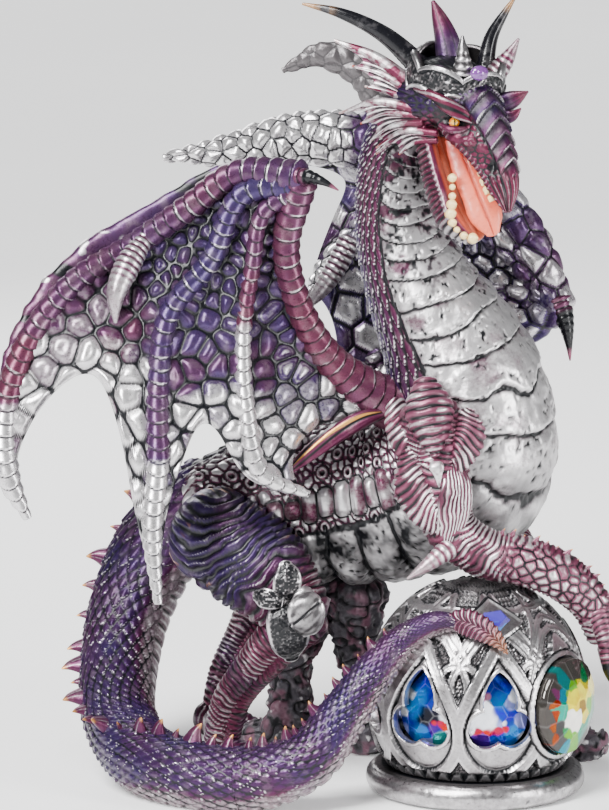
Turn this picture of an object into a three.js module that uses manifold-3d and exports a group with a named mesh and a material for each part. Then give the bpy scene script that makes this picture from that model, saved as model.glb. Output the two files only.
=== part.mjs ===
// A cast-resin dragon that guards a crystal ball: an openwork metal-finish orb
// with crystals behind its arches, lit from inside by a battery LED unit.
// Millimetres, +Z up. The origin is on the orb's vertical axis, on the table.
import * as THREE from "three";
import { mergeVertices } from "three/addons/utils/BufferGeometryUtils.js";
import Module from "manifold-3d";

const wasm = await Module();
wasm.setup();

// ---------------------------------------------------------------- driving dimensions

const GAP = 0.3; // glue or running gap between two pieces

const ORB = {
  radius: 39, // at the equator
  halfHeight: 42,
  centreZ: 35,
  wall: 3,
  floorZ: 9.7, // the shell is cut off here and stands on the foot ring
  bays: 8, // seven arches and one round gem share the circumference
  firstBayDeg: 11.5, // measured from the front, towards +X
  gemBay: 1,
};
const RING = { outer: 39.6, top: 9.4, coverSeat: 27.5, bore: 22.6, coverPocket: 2.7 };
const GEM = { girdle: 17, distance: 38.4, crown: 5.5, pavilion: 5, facets: 12 };
const LOZENGE = { width: 13, height: 11, depth: 4, z: 66 };
const CRYSTAL = { halfWidth: 10.4, height: 29, thickness: 4, distance: 28.2, z: 34 };

const COVER = { radius: RING.coverSeat - 0.4, thickness: 2.4 };
const DOOR = { halfWidth: 9.9, nearY: 2.4, farY: 18.7, bottomZ: 0.2, thickness: 1.6 };
const CELL = { radius: 5.8, length: 5.4, y: 12.2, z: 9 };
const TRAY = { halfWidth: 10.9, nearY: 2.6, farY: 19.3, bottomZ: 2.8, topZ: 16 };
const BOARD = { radius: 20, bottomZ: 16.4, thickness: 1.6 };
const SWITCH = { y: -14, halfSlot: 4.2, knob: 4, halfDepth: 1.6 };
const COVER_SCREW = {
  pitchRadius: 25, head: 1.6, shank: 0.9, headTop: 1.2, length: 7, degrees: [90, 210, 330],
};
const DOOR_SCREW = { inset: 1.9, head: 1.3, shank: 0.6, headTop: 1.2, length: 5.2 };
const SPRING = { turns: 2.5, wire: 0.22, wide: 3.6, narrow: 1.8, wideX: 9.2, narrowX: 7.6 };
const LED = { ring: 6, count: 3, flange: 2.9, lens: 2.5, tall: 7.5 };

// Centre lines of the animal's parts: x, y, z and the radius there.
const TORSO = [
  [-97, 48, 90, 19], [-77, 48, 95, 24], [-52, 46, 98, 28], [-27, 40, 102, 29.5],
  [-4, 29, 115, 30], [-2, 26, 137, 27.5], [-9, 25, 157, 24], [-19, 24, 176, 19],
  [-26, 24, 194, 15.5], [-29, 22, 212, 13], [-28, 18, 229, 11.5], [-21, 12, 243, 10],
];
const HEAD = [
  [-25, 14, 243, 9], [-17, 9, 246, 13], [-7, 2, 246, 13.5], [3, -7, 236, 10.5],
  [9, -13, 225, 7.5], [12, -17, 217, 4],
];
const JAW = [[-18, 4, 236, 6], [-13, -3, 221, 6], [-9, -9, 209, 5.5], [-6, -13, 202, 3]];
const TONGUE = [[-6, -3, 230, 3], [-3, -8, 217, 3.4], [1, -13, 206, 1.4]];
const LEFT_HORN = [[-19, 9, 258, 4.5], [-34, 11, 271, 3], [-49, 13, 278, 1.9], [-62, 15, 281, 0.5]];
const RIGHT_HORN = [[2, 6, 257, 3.4], [5, 9, 271, 2.4], [9, 10, 278, 1.5], [13, 11, 284, 0.5]];
const CREST_HORN = [[-9, 10, 258, 5.5], [-12, 13, 271, 4], [-15, 15, 280, 1]];
const CHEEK_FRILL = [[-25, 4, 244, 7], [-36, 8, 253, 5.5], [-51, 12, 272, 0.8]];
const JAW_FRILL = [[-26, 2, 236, 6], [-36, 2, 240, 4], [-46, 4, 245, 0.7]];
const NAPE_FIN = [[-32, 22, 245, 7], [-46, 26, 259, 6], [-67, 28, 257, 0.8]];

const NEAR_FORELEG = [
  [-17, -1, 136, 11], [-13, -5, 114, 10], [-9, -8, 96, 8.5], [2, -9, 88, 8.2],
  [16, -9, 85, 8.2], [30, -8, 79, 7.8], [41, -6, 68, 6.5], [45, -5, 57, 5],
];
const FAR_FORELEG = [
  [-2, 50, 128, 10], [4, 52, 106, 9], [8, 50, 90, 7.5], [14, 40, 82, 7], [18, 30, 78, 6],
];
const NEAR_THIGH = [[-94, 28, 87, 17], [-77, 14, 77, 17], [-63, 6, 63, 11]];
const NEAR_SHIN = [[-63, 7, 60, 10], [-77, 14, 43, 7.5], [-88, 22, 26, 6], [-92, 26, 8, 5.5]];
const NEAR_FOOT = [[-94, 30, 6, 6], [-84, 18, 6, 5.5], [-78, 10, 5, 3]];
const FAR_THIGH = [[-94, 68, 87, 15], [-84, 76, 74, 15], [-76, 80, 60, 10]];
const FAR_SHIN = [[-76, 80, 58, 9], [-86, 82, 40, 7], [-94, 82, 24, 6], [-96, 82, 8, 5.5]];
const FAR_FOOT = [[-98, 82, 6, 6], [-88, 76, 6, 5.5], [-80, 72, 5, 3]];

const TAIL = [
  [-93, 52, 94, 18], [-112, 56, 80, 16], [-124, 51, 58, 14.5], [-129, 36, 37, 13.5],
  [-128, 14, 21, 12.5], [-119, -8, 13, 12], [-104, -24, 11, 11.5], [-81, -33, 11, 11],
  [-59, -36, 20, 9.5], [-48, -33, 34, 8], [-36, -29.5, 50, 6.4], [-25, -25.5, 61, 4.6],
  [-13, -28, 67, 3.2], [-1, -31, 65, 1],
];
const TAIL_JOINTS = [3 / 13, 8 / 13]; // where its three castings meet

// The rock under the belly, and its low arm that curls round behind the orb.
const ROCK_COLUMN = [[-68, 56, -4, 19], [-66, 54, 22, 14], [-62, 52, 48, 13], [-58, 50, 72, 15]];
const ROCK_BUTTRESS = [[-44, 52, 0, 12], [-46, 50, 28, 10], [-40, 46, 60, 12]];
const ROCK_ARM = [
  [-60, 60, 2, 16], [-25, 64, 4, 14], [10, 60, 2, 13], [38, 42, 3, 8], [47, 34, 6, 3],
];
const ROCK_HEEL = [[-88, 62, -2, 13], [-70, 60, 0, 13]];
const CROWN_SPIKE = [[7, -12, 3, 3.4], [8, -13, 10, 2.2], [8.5, -13, 17, 0.5]];

// Each finger of a wing starts at its wrist.
const NEAR_WING = {
  fingers: [
    [
      [-63, 8, 220, 6], [-85, 10, 221, 5], [-103, 8, 209, 4.6], [-121, 4, 197, 4.2],
      [-143, -2, 184, 4], [-160, -10, 162, 4], [-167, -16, 138, 4],
      [-166, -20, 118, 3.8], [-159, -22, 103, 0.8],
    ],
    [
      [-66, 8, 217, 4.5], [-82, 6, 215, 4], [-95, 0, 191, 3.6], [-109, -8, 174, 3.6],
      [-113, -16, 148, 3.6], [-113, -22, 123, 3.6], [-115, -26, 100, 3.2], [-113, -30, 74, 0.8],
    ],
    [
      [-64, 8, 215, 4], [-75, 5, 209, 3.5], [-80, 0, 188, 3.3], [-83, -6, 166, 3.1],
      [-82, -11, 141, 3.2], [-76, -13, 117, 3.4], [-60, -14, 110, 0.8],
    ],
    [
      [-63, 8, 218, 6], [-68, 8, 195, 5.6], [-63, 9, 173, 5.2], [-54, 12, 156, 6.2],
      [-38, 17, 141, 8.5], [-20, 22, 132, 11],
    ],
  ],
  scallops: [0.36, 0.32, 0.16],
  billow: 5,
};
const FAR_WING = {
  fingers: [
    [
      [31, 58, 166, 6], [19, 62, 194, 6], [-2, 66, 214, 7], [-31, 70, 224, 9],
      [-63, 72, 226, 9], [-92, 72, 221, 5], [-113, 72, 219, 0.8],
    ],
    [
      [31, 58, 166, 5], [12, 64, 188, 4], [-15, 68, 203, 4], [-35, 68, 197, 4],
      [-50, 66, 183, 4], [-61, 62, 169, 0.8],
    ],
    [
      [31, 58, 166, 5], [6, 64, 168, 4], [-15, 66, 158, 4], [-33, 62, 146, 4],
      [-52, 56, 136, 2],
    ],
    [[31, 58, 166, 6], [6, 61, 152, 8], [-18, 52, 136, 10], [-30, 46, 124, 8]],
  ],
  scallops: [0.3, 0.06, 0.05],
  billow: 4,
};
const MEMBRANE = 2.2;
const TOE_SPREAD = [-5, 0, 5]; // of the toes and of the claws over the orb
// Steel dowels that carry the wings: start, end and radius.
const NEAR_PIN = [[-37, 17, 141, 1.5], [-23, 21, 134, 1.5]];
const FAR_PIN = [[-24, 57, 138, 1.5], [-14, 43, 131, 1.5]];

// ---------------------------------------------------------------- geometry helpers

// A closed three.js geometry as a manifold solid.
function solid(geometry) {
  const bare = geometry.clone();
  bare.deleteAttribute("normal");
  bare.deleteAttribute("uv");
  const merged = mergeVertices(bare, 1e-3);
  return new wasm.Manifold(
    new wasm.Mesh({
      numProp: 3,
      vertProperties: merged.attributes.position.array,
      triVerts: new Uint32Array(merged.index.array),
    }),
  );
}

// A manifold solid as a three.js geometry.
function geometryOf(manifold) {
  const mesh = manifold.getMesh();
  const positions = new Float32Array(mesh.numVert * 3);
  for (let i = 0; i < mesh.numVert; i++) {
    const start = i * mesh.numProp;
    positions.set(mesh.vertProperties.subarray(start, start + 3), i * 3);
  }
  const geometry = new THREE.BufferGeometry();
  geometry.setAttribute("position", new THREE.BufferAttribute(positions, 3));
  geometry.setIndex(new THREE.BufferAttribute(mesh.triVerts, 1));
  return geometry;
}

const join = (first, ...others) => others.reduce((sum, next) => sum.add(next), first);
const cut = (first, ...others) => others.reduce((rest, next) => rest.subtract(next), first);

// The biggest of the pieces that a cut leaves.
function largest(manifold) {
  const bodies = manifold.decompose();
  return bodies.reduce((best, body) => (body.volume() > best.volume() ? body : best));
}

// Moves every vertex of a geometry by a function of its place.
function bend(geometry, placeOf) {
  const position = geometry.attributes.position;
  const point = new THREE.Vector3();
  for (let i = 0; i < position.count; i++) {
    point.fromBufferAttribute(position, i);
    const placed = placeOf(point);
    position.setXYZ(i, placed.x, placed.y, placed.z);
  }
  return geometry;
}

const curveThrough = (points) =>
  new THREE.CatmullRomCurve3(
    points.map(([x, y, z]) => new THREE.Vector3(x, y, z)),
    false,
    "centripetal",
  );

// The radius a share t of the way through the list of points.
function radiusAt(points, t) {
  const place = Math.min(Math.max(t, 0), 1) * (points.length - 1);
  const i = Math.min(Math.floor(place), points.length - 2);
  const between = place - i;
  return THREE.MathUtils.lerp(points[i][3], points[i + 1][3], between);
}

// Directions across the curve at each step, turned as little as possible between steps.
function framesAlong(curve, steps, from, to) {
  const tangents = [];
  const normals = [];
  const binormals = [];
  for (let i = 0; i <= steps; i++) {
    tangents.push(curve.getTangent(from + ((to - from) * i) / steps));
    const before = i ? normals[i - 1] : new THREE.Vector3(0.1, 1, 0.2);
    const normal = before.clone().addScaledVector(tangents[i], -before.dot(tangents[i]));
    normals.push(normal.normalize());
    binormals.push(tangents[i].clone().cross(normals[i]));
  }
  return { tangents, normals, binormals };
}

// A cylinder bent along the points, as thick as they say, and flattened across
// the direction "flat" if one is given.
function limb(points, options = {}) {
  const { sides = 10, steps = 10, grow = 0, flat = null, keep = 1, from = 0, to = 1 } = options;
  const curve = curveThrough(points);
  const frames = framesAlong(curve, steps, from, to);
  const cylinder = new THREE.CylinderGeometry(1, 1, 1, sides, steps);
  bend(cylinder, ({ x, y, z }) => {
    const step = Math.round((y + 0.5) * steps);
    const t = from + (to - from) * (y + 0.5);
    const radius = radiusAt(points, t) + grow;
    const offset = new THREE.Vector3()
      .addScaledVector(frames.normals[step], z * radius)
      .addScaledVector(frames.binormals[step], x * radius);
    if (flat) offset.addScaledVector(flat, (keep - 1) * offset.dot(flat));
    const past = y > 0.49 ? grow : y < -0.49 ? -grow : 0;
    return curve
      .getPoint(t)
      .add(offset)
      .addScaledVector(frames.tangents[step], past);
  });
  return solid(cylinder);
}

const DEPTH = new THREE.Vector3(0, 1, 0);

function box(x0, x1, y0, y1, z0, z1) {
  const geometry = new THREE.BoxGeometry(x1 - x0, y1 - y0, z1 - z0);
  geometry.translate((x0 + x1) / 2, (y0 + y1) / 2, (z0 + z1) / 2);
  return solid(geometry);
}

// An upright cylinder, or a cone where the radii differ.
function post(x, y, z0, z1, radius, topRadius = radius, sides = 20) {
  const geometry = new THREE.CylinderGeometry(topRadius, radius, z1 - z0, sides);
  geometry.rotateX(Math.PI / 2);
  geometry.translate(x, y, (z0 + z1) / 2);
  return solid(geometry);
}

// A body of revolution about Z from [radius, height] pairs in rising order.
function turned(profile, segments = 40) {
  const points = profile.map(([radius, height]) => new THREE.Vector2(radius, height));
  const geometry = new THREE.LatheGeometry(points, segments);
  geometry.rotateX(Math.PI / 2);
  return solid(geometry);
}

function ball(x, y, z, radius, squash = [1, 1, 1]) {
  const geometry = new THREE.SphereGeometry(radius, 10, 7);
  geometry.rotateX(Math.PI / 2);
  geometry.scale(...squash);
  geometry.translate(x, y, z);
  return solid(geometry);
}

const bayAngle = (bay) =>
  THREE.MathUtils.degToRad(ORB.firstBayDeg + (360 / ORB.bays) * bay);

// Turns a solid made at the origin, facing -Y, to face outwards in one bay.
const inBay = (manifold, bay) =>
  manifold.rotate([0, 0, THREE.MathUtils.radToDeg(bayAngle(bay))]);

// A solid made along +Z, laid down so that its +Z points to -Y.
const facingFront = (manifold) => manifold.rotate([90, 0, 0]);

// ---------------------------------------------------------------- the crystal ball

// The ellipsoid of the orb, "inset" mm inside its outer face.
function orbBody(inset, segments = 28) {
  const rings = 9;
  const profile = [];
  for (let i = 0; i <= rings; i++) {
    const angle = -Math.PI / 2 + (Math.PI * i) / rings;
    profile.push([
      (ORB.radius - inset) * Math.max(Math.cos(angle), 0),
      ORB.centreZ + (ORB.halfHeight - inset) * Math.sin(angle),
    ]);
  }
  return turned(profile, segments);
}

// The opening of one arch: a pointed lobe over two round ones.
function archOpening() {
  const depth = 30;
  const lobe = (x, z, radius) =>
    facingFront(post(x, z, 25, 25 + depth, radius, radius, 12));
  const tip = new THREE.Shape([
    new THREE.Vector2(-4, 7),
    new THREE.Vector2(4, 7),
    new THREE.Vector2(0, 15),
  ]);
  const wedge = new THREE.ExtrudeGeometry(tip, { depth, bevelEnabled: false });
  wedge.translate(0, 0, 25);
  const shape = join(
    lobe(0, 6.5, 4.6),
    lobe(-4.2, -4, 5.8),
    lobe(4.2, -4, 5.8),
    facingFront(solid(wedge)),
  );
  return shape.translate([0, 0, CRYSTAL.z]);
}

function orbDome() {
  const shell = cut(orbBody(0), orbBody(ORB.wall));
  const bezel = facingFront(post(0, 0, 33, GEM.distance + 1.4, GEM.girdle + 1.6, undefined, 28));
  const seat = facingFront(post(0, 0, GEM.distance - 1.4, 60, GEM.girdle + GAP, undefined, 28));
  const behind = facingFront(post(0, 0, 20, 50, GEM.girdle - 2.6, undefined, 28));
  const raise = (manifold) => inBay(manifold.translate([0, 0, ORB.centreZ]), ORB.gemBay);
  let dome = join(shell, raise(bezel));
  dome = cut(dome, raise(seat), raise(behind), lozengeGem(GAP));
  for (let bay = 0; bay < ORB.bays; bay++)
    if (bay !== ORB.gemBay) dome = cut(dome, inBay(archOpening(), bay));
  const below = box(-60, 60, -60, 60, -20, ORB.floorZ);
  return largest(cut(dome, below));
}

// The step inside the ring carries the base cover.
function footRing() {
  const profile = [
    [RING.bore, RING.coverPocket],
    [RING.coverSeat, RING.coverPocket],
    [RING.coverSeat, 0],
  ];
  const tube = RING.top / 2;
  const bulgeCentre = RING.outer - tube;
  for (let i = 0; i <= 5; i++) {
    const angle = -Math.PI / 2 + (Math.PI * i) / 5;
    profile.push([bulgeCentre + tube * Math.cos(angle), tube + tube * Math.sin(angle)]);
  }
  profile.push([RING.bore, RING.top], [RING.bore, RING.coverPocket]);
  const { pitchRadius, shank, length, degrees } = COVER_SCREW;
  const screwHoles = degrees.map((turn) => {
    const angle = THREE.MathUtils.degToRad(turn);
    const [x, y] = [pitchRadius * Math.cos(angle), pitchRadius * Math.sin(angle)];
    return post(x, y, -1, length + 1, shank + GAP, undefined, 8);
  });
  return cut(turned(profile, 28), ...screwHoles);
}

// A flat-backed drop of cut crystal that closes one arch from inside.
function archCrystal() {
  const { halfWidth, height, thickness, distance, z } = CRYSTAL;
  const outline = new THREE.Shape();
  outline.moveTo(0, height / 2);
  outline.quadraticCurveTo(-halfWidth, height * 0.2, -halfWidth, -height * 0.12);
  outline.quadraticCurveTo(-halfWidth, -height / 2, 0, -height / 2);
  outline.quadraticCurveTo(halfWidth, -height / 2, halfWidth, -height * 0.12);
  outline.quadraticCurveTo(halfWidth, height * 0.2, 0, height / 2);
  const bevel = 1.6;
  const geometry = new THREE.ExtrudeGeometry(outline, {
    depth: thickness - 2 * bevel,
    bevelSize: bevel,
    bevelThickness: bevel,
    bevelOffset: -bevel,
    bevelSegments: 1,
    curveSegments: 3,
  });
  geometry.translate(0, 0, distance + bevel);
  return facingFront(solid(geometry)).translate([0, 0, z]);
}

// The large round stone: a flat table, sloping crown facets and a blunt back.
function roundGem() {
  const { girdle, distance, crown, pavilion, facets } = GEM;
  const stone = turned(
    [
      [0, distance - 1 - pavilion],
      [girdle * 0.4, distance - 1 - pavilion],
      [girdle - 3.2, distance - 1],
      [girdle, distance - 1],
      [girdle, distance + 1],
      [girdle * 0.86, distance + crown * 0.62],
      [girdle * 0.52, distance + crown],
      [0, distance + crown],
    ],
    facets * 2,
  );
  return inBay(facingFront(stone).translate([0, 0, ORB.centreZ]), ORB.gemBay);
}

// The small kite-cut stone on the shoulder of the orb, over the front arch.
function lozengeGem(grow = 0) {
  const { width, height, depth, z } = LOZENGE;
  const across = width / 2 + grow;
  const along = height / 2 + grow;
  const outline = new THREE.Shape([
    new THREE.Vector2(across, along * 0.15),
    new THREE.Vector2(across * 0.55, along),
    new THREE.Vector2(-across * 0.45, along * 0.85),
    new THREE.Vector2(-across, -along * 0.1),
    new THREE.Vector2(across * 0.1, -along),
  ]);
  const geometry = new THREE.ExtrudeGeometry(outline, {
    depth: depth / 2 + grow,
    bevelSize: 1.6,
    bevelThickness: depth / 2,
    bevelOffset: -1.6,
    bevelSegments: 1,
  });
  geometry.translate(0, 0, -depth / 2);
  const radius = ORB.radius * Math.sqrt(1 - ((z - ORB.centreZ) / ORB.halfHeight) ** 2);
  const slope = 45;
  return inBay(
    facingFront(solid(geometry)).rotate([-slope, 0, 0]).translate([0, -radius - 0.2, z]),
    0,
  );
}

// ---------------------------------------------------------------- the LED unit

function baseCover() {
  const plate = post(0, 0, 0, COVER.thickness, COVER.radius, undefined, 48);
  const { halfWidth, nearY, farY } = DOOR;
  const doorway = box(
    -halfWidth - GAP, halfWidth + GAP, nearY - GAP, farY + GAP, -1, COVER.thickness + 1,
  );
  const { y, halfSlot, halfDepth } = SWITCH;
  const slot = box(
    -halfSlot, halfSlot, y - halfDepth - GAP, y + halfDepth + GAP, -1, COVER.thickness + 1,
  );
  const screwHoles = COVER_SCREW.degrees.map((degrees) => coverScrew(degrees, GAP));
  return cut(plate, doorway, slot, ...screwHoles);
}

function coverScrew(degrees, grow = 0) {
  const angle = THREE.MathUtils.degToRad(degrees);
  const x = COVER_SCREW.pitchRadius * Math.cos(angle);
  const y = COVER_SCREW.pitchRadius * Math.sin(angle);
  const { head, shank, headTop, length } = COVER_SCREW;
  return join(
    post(x, y, grow ? -1 : 0.2, headTop + grow, head + grow, undefined, 8),
    post(x, y, 1, length + grow, shank + grow, undefined, 8),
  );
}

function batteryDoor() {
  const { halfWidth, nearY, farY, bottomZ, thickness } = DOOR;
  const plate = box(-halfWidth, halfWidth, nearY, farY, bottomZ, bottomZ + thickness);
  const grip = box(-4, 4, farY - 4, farY - 3, -1, bottomZ + 0.6);
  return cut(plate, doorScrew(GAP), grip);
}

function doorScrew(grow = 0) {
  const { inset, head, shank, headTop, length } = DOOR_SCREW;
  const y = DOOR.nearY + inset;
  return join(
    post(0, y, grow ? -1 : DOOR.bottomZ + 0.1, headTop + grow, head + grow, undefined, 8),
    post(0, y, 1, length + grow, shank + grow, undefined, 8),
  );
}

// An open-bottomed trough for the cells, with a screw boss at its front.
function batteryTray() {
  const { halfWidth, nearY, farY, bottomZ, topZ } = TRAY;
  const block = box(-halfWidth, halfWidth, nearY, farY, bottomZ, topZ);
  const wall = 1.2;
  const half = halfWidth - wall;
  const room = CELL.radius + GAP;
  const trough = box(-half, half, CELL.y - room, CELL.y + room, bottomZ - 1, topZ - 1);
  const pilot = post(0, DOOR.nearY + DOOR_SCREW.inset, bottomZ - 1, 7, 1.4, undefined, 14);
  return cut(block, trough, pilot);
}

function buttonCell(index) {
  const { radius, length, y, z } = CELL;
  const geometry = new THREE.CylinderGeometry(radius, radius, length - GAP, 24);
  geometry.rotateZ(Math.PI / 2);
  geometry.translate((index - 1) * length - 0.7, y, z);
  return solid(geometry);
}

// A conical battery spring, as one coil along a shrinking helix.
function contactSpring() {
  const { turns, wire, wide, narrow, wideX, narrowX } = SPRING;
  class ConeHelix extends THREE.Curve {
    getPoint(t) {
      const angle = turns * 2 * Math.PI * t;
      const radius = THREE.MathUtils.lerp(wide, narrow, t);
      return new THREE.Vector3(
        THREE.MathUtils.lerp(wideX, narrowX, t),
        CELL.y + radius * Math.cos(angle),
        CELL.z + radius * Math.sin(angle),
      );
    }
  }
  const section = new THREE.Shape().absarc(0, 0, wire, 0, Math.PI * 2);
  return solid(
    new THREE.ExtrudeGeometry(section, {
      extrudePath: new ConeHelix(),
      steps: 28,
      curveSegments: 2,
    }),
  );
}

const contactPlate = () =>
  box(-9.6, -9.2, CELL.y - 4, CELL.y + 4, CELL.z - 4, CELL.z + 4);

function switchBody() {
  const { y, knob } = SWITCH;
  const block = box(-7, 7, y - 3.4, y + 3.4, 3, 9);
  return cut(block, box(-knob - 1, knob + 1, y - 1.2, y + 1.2, 2, 6));
}

function switchKnob() {
  const { y, halfSlot, knob, halfDepth } = SWITCH;
  const x0 = -halfSlot + GAP;
  const cap = box(x0, x0 + knob, y - halfDepth, y + halfDepth, 0.5, 2.6);
  const stem = box(x0 + 1, x0 + knob - 1, y - 0.8, y + 0.8, 2.5, 5.5);
  return join(cap, stem);
}

const ledBoard = () =>
  post(0, 0, BOARD.bottomZ, BOARD.bottomZ + BOARD.thickness, BOARD.radius, undefined, 36);

function led(index) {
  const { ring, count, flange, lens, tall } = LED;
  const angle = (2 * Math.PI * index) / count;
  const base = BOARD.bottomZ + BOARD.thickness + GAP;
  const profile = [
    [0, 0], [flange, 0], [flange, 1], [lens, 1], [lens, tall - lens],
    [lens * 0.72, tall - 0.7], [0, tall],
  ];
  return turned(profile, 10).translate([ring * Math.cos(angle), ring * Math.sin(angle), base]);
}

// A frosted cap that spreads the light of the LEDs.
function diffuser() {
  const base = BOARD.bottomZ + BOARD.thickness + GAP;
  const outer = turned([[0, 0], [14, 0], [14, 6], [11, 12], [5, 15], [0, 15.5]], 24);
  const inner = turned([[0, -1], [12.6, -1], [12.6, 5.6], [10, 11], [4.4, 13.6], [0, 14]], 24);
  return cut(outer, inner).translate([0, 0, base]);
}

// ---------------------------------------------------------------- the dragon

const torso = (grow = 0) => limb(TORSO, { sides: 14, steps: 20, grow });

// The rock carries the belly and closes the back of the ball's bed.
function rockBase() {
  const mass = join(
    limb(ROCK_COLUMN, { sides: 9, steps: 6 }),
    limb(ROCK_ARM, { sides: 8, steps: 9 }),
    limb(ROCK_BUTTRESS, { sides: 8, steps: 5 }),
    limb(ROCK_HEEL, { sides: 8, steps: 2 }),
  );
  return cut(mass, orbEnvelope(), torso(GAP), farHindLeg(GAP), belowTable());
}

// Room that the orb and its foot take up.
function orbEnvelope() {
  const bezel = facingFront(post(0, 0, 30, GEM.distance + GEM.crown + 1, GEM.girdle + 2.4));
  return join(
    orbBody(-GAP * 1.5, 32),
    post(0, 0, -5, RING.top + 0.6, RING.outer + 0.5, undefined, 48),
    inBay(bezel.translate([0, 0, ORB.centreZ]), ORB.gemBay),
    lozengeGem(1),
  );
}

const belowTable = () => box(-300, 300, -300, 300, -60, 0);

// Three toes that fan out from the heel of a foot and end in claws on the table.
function toes(foot, grow) {
  const [x, y, z, radius] = foot[foot.length - 1];
  const [heelX, heelY] = foot[1];
  return TOE_SPREAD.map((spread) => {
    const heel = [heelX + spread * 0.5, heelY + spread * 0.5, z, radius * 0.9];
    const knuckle = [x + spread, y + spread, z, radius];
    const tip = [x + 4 + spread * 0.9, y - 4 + Math.abs(spread) * 0.2 + spread * 0.9, 2, 0.8];
    return limb([heel, knuckle, tip], { sides: 6, steps: 3, grow });
  });
}

function hindLeg(thigh, shin, foot, grow) {
  return join(
    limb(thigh, { sides: 10, steps: 5, grow }),
    limb(shin, { sides: 9, steps: 6, grow }),
    limb(foot, { sides: 8, steps: 3, grow }),
    ...toes(foot, grow),
  );
}

function nearHindLeg(grow = 0) {
  const leg = hindLeg(NEAR_THIGH, NEAR_SHIN, NEAR_FOOT, grow);
  return grow ? leg : largest(cut(leg, torso(GAP), belowTable()));
}

function farHindLeg(grow = 0) {
  const leg = hindLeg(FAR_THIGH, FAR_SHIN, FAR_FOOT, grow);
  return grow ? leg : largest(cut(leg, torso(GAP), belowTable()));
}

function kneeGuard() {
  const shield = join(
    ball(-63, 2, 62, 13, [0.95, 0.85, 1.15]),
    limb([[-64, -1, 56, 9], [-62, 0, 44, 1.5]], { sides: 8, steps: 2 }),
    limb([[-66, 0, 66, 7], [-70, -2, 80, 1.5]], { sides: 8, steps: 2 }),
  );
  const front = box(-100, 0, -40, 4, 0, 120);
  return largest(cut(shield.intersect(front), nearHindLeg(GAP), torso(GAP)));
}

// A thin skin between two fingers, its outer edge scalloped and its middle
// blown back a little.
function membrane(first, second, scallop, billow, grow) {
  const across = 4;
  const along = 7;
  const [a, b] = [curveThrough(first), curveThrough(second)];
  const centre = (u, v) => {
    const reach = 0.98 * v * (1 - scallop * 4 * u * (1 - u));
    const swell = billow * 4 * u * (1 - u) * Math.sin(Math.PI * Math.min(v, 0.9));
    return a.getPoint(reach).lerp(b.getPoint(reach), u).addScaledVector(DEPTH, swell);
  };
  const skin = new THREE.BoxGeometry(1, 1, 1, across, along, 1);
  bend(skin, ({ x, y, z }) => {
    const u = x + 0.5;
    const v = 0.06 + 0.94 * (0.5 - y);
    return centre(u, v).addScaledVector(DEPTH, -2 * z * (MEMBRANE / 2 + grow));
  });
  const made = solid(skin);
  return made.volume() < 0 ? solid(flipped(skin)) : made;
}

// The same geometry with its faces turned the other way.
function flipped(geometry) {
  const index = geometry.index.array;
  for (let i = 0; i < index.length; i += 3)
    [index[i + 1], index[i + 2]] = [index[i + 2], index[i + 1]];
  return geometry;
}

function wing({ fingers, scallops, billow }, grow = 0) {
  const bones = fingers.map((finger) =>
    limb(finger, { sides: 6, steps: finger.length, grow }),
  );
  const skins = scallops.map((scallop, i) =>
    membrane(fingers[i], fingers[i + 1], scallop, billow, grow),
  );
  return join(bones[0], ...bones.slice(1), ...skins);
}

const thumbSpur = (points, grow = 0) => limb(points, { sides: 7, steps: 3, grow });

const NEAR_SPUR = [[-122, 3, 195, 4], [-126, -2, 186, 3.5], [-128, -4, 175, 0.8]];
const NEAR_THUMB = [[-60, 7, 220, 5], [-53, 4, 218, 3], [-47, 2, 213, 0.7]];
const FAR_THUMB = [[31, 58, 166, 6], [33, 57, 158, 3], [34, 56, 149, 0.6]];

const nearWingWhole = (grow = 0) =>
  join(wing(NEAR_WING, grow), thumbSpur(NEAR_SPUR, grow), thumbSpur(NEAR_THUMB, grow));

function nearWing() {
  const pin = wingPin(NEAR_PIN, GAP);
  return largest(cut(nearWingWhole(), torso(GAP), nearForeleg(GAP), pin));
}

function farWing() {
  const whole = join(wing(FAR_WING), thumbSpur(FAR_THUMB));
  return largest(cut(whole, torso(2 * GAP), nearWingWhole(GAP), wingPin(FAR_PIN, GAP)));
}

const wingPin = (ends, grow = 0) => limb(ends, { sides: 12, steps: 1, grow });

function torsoCasting() {
  const pins = [wingPin(NEAR_PIN, GAP), wingPin(FAR_PIN, GAP)];
  return largest(cut(torso(), ...pins, headWhole(GAP), orbEnvelope()));
}

function foreleg(points, grow) {
  const arm = limb(points, { sides: 9, steps: 12, grow });
  const [x, y, z, radius] = points[points.length - 1];
  const before = points[points.length - 2];
  const reach = new THREE.Vector3(x - before[0], y - before[1], z - before[2]).normalize();
  const claws = TOE_SPREAD.map((spread) =>
    limb(
      [
        [x, y, z, radius * 0.8],
        [x + reach.x * 7, y + spread, z + reach.z * 7, 3],
        [x + reach.x * 9, y + spread * 1.3, z + reach.z * 19, 0.8],
      ],
      { sides: 6, steps: 4, grow },
    ),
  );
  return join(arm, ...claws);
}

const NEAR_ELBOW_SPUR = [[-9, -10, 90, 5], [-15, -14, 86, 3], [-22, -16, 82, 0.7]];

function nearForeleg(grow = 0) {
  const whole = join(foreleg(NEAR_FORELEG, grow), thumbSpur(NEAR_ELBOW_SPUR, grow));
  return grow ? whole : largest(cut(whole, torso(GAP), orbEnvelope()));
}

function farForeleg() {
  const whole = limb(FAR_FORELEG, { sides: 9, steps: 8 });
  return largest(cut(whole, torso(GAP), orbEnvelope(), nearForeleg(GAP), farWingShield()));
}

const farWingShield = () => join(wing(FAR_WING, GAP), thumbSpur(FAR_THUMB, GAP));

function tailPiece(from, to, steps, neighbours) {
  const shorter = from ? from + 0.002 : 0; // leaves the glue line
  const piece = limb(TAIL, { sides: 10, steps, from: shorter, to });
  return largest(cut(piece, ...neighbours, belowTable()));
}

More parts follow.
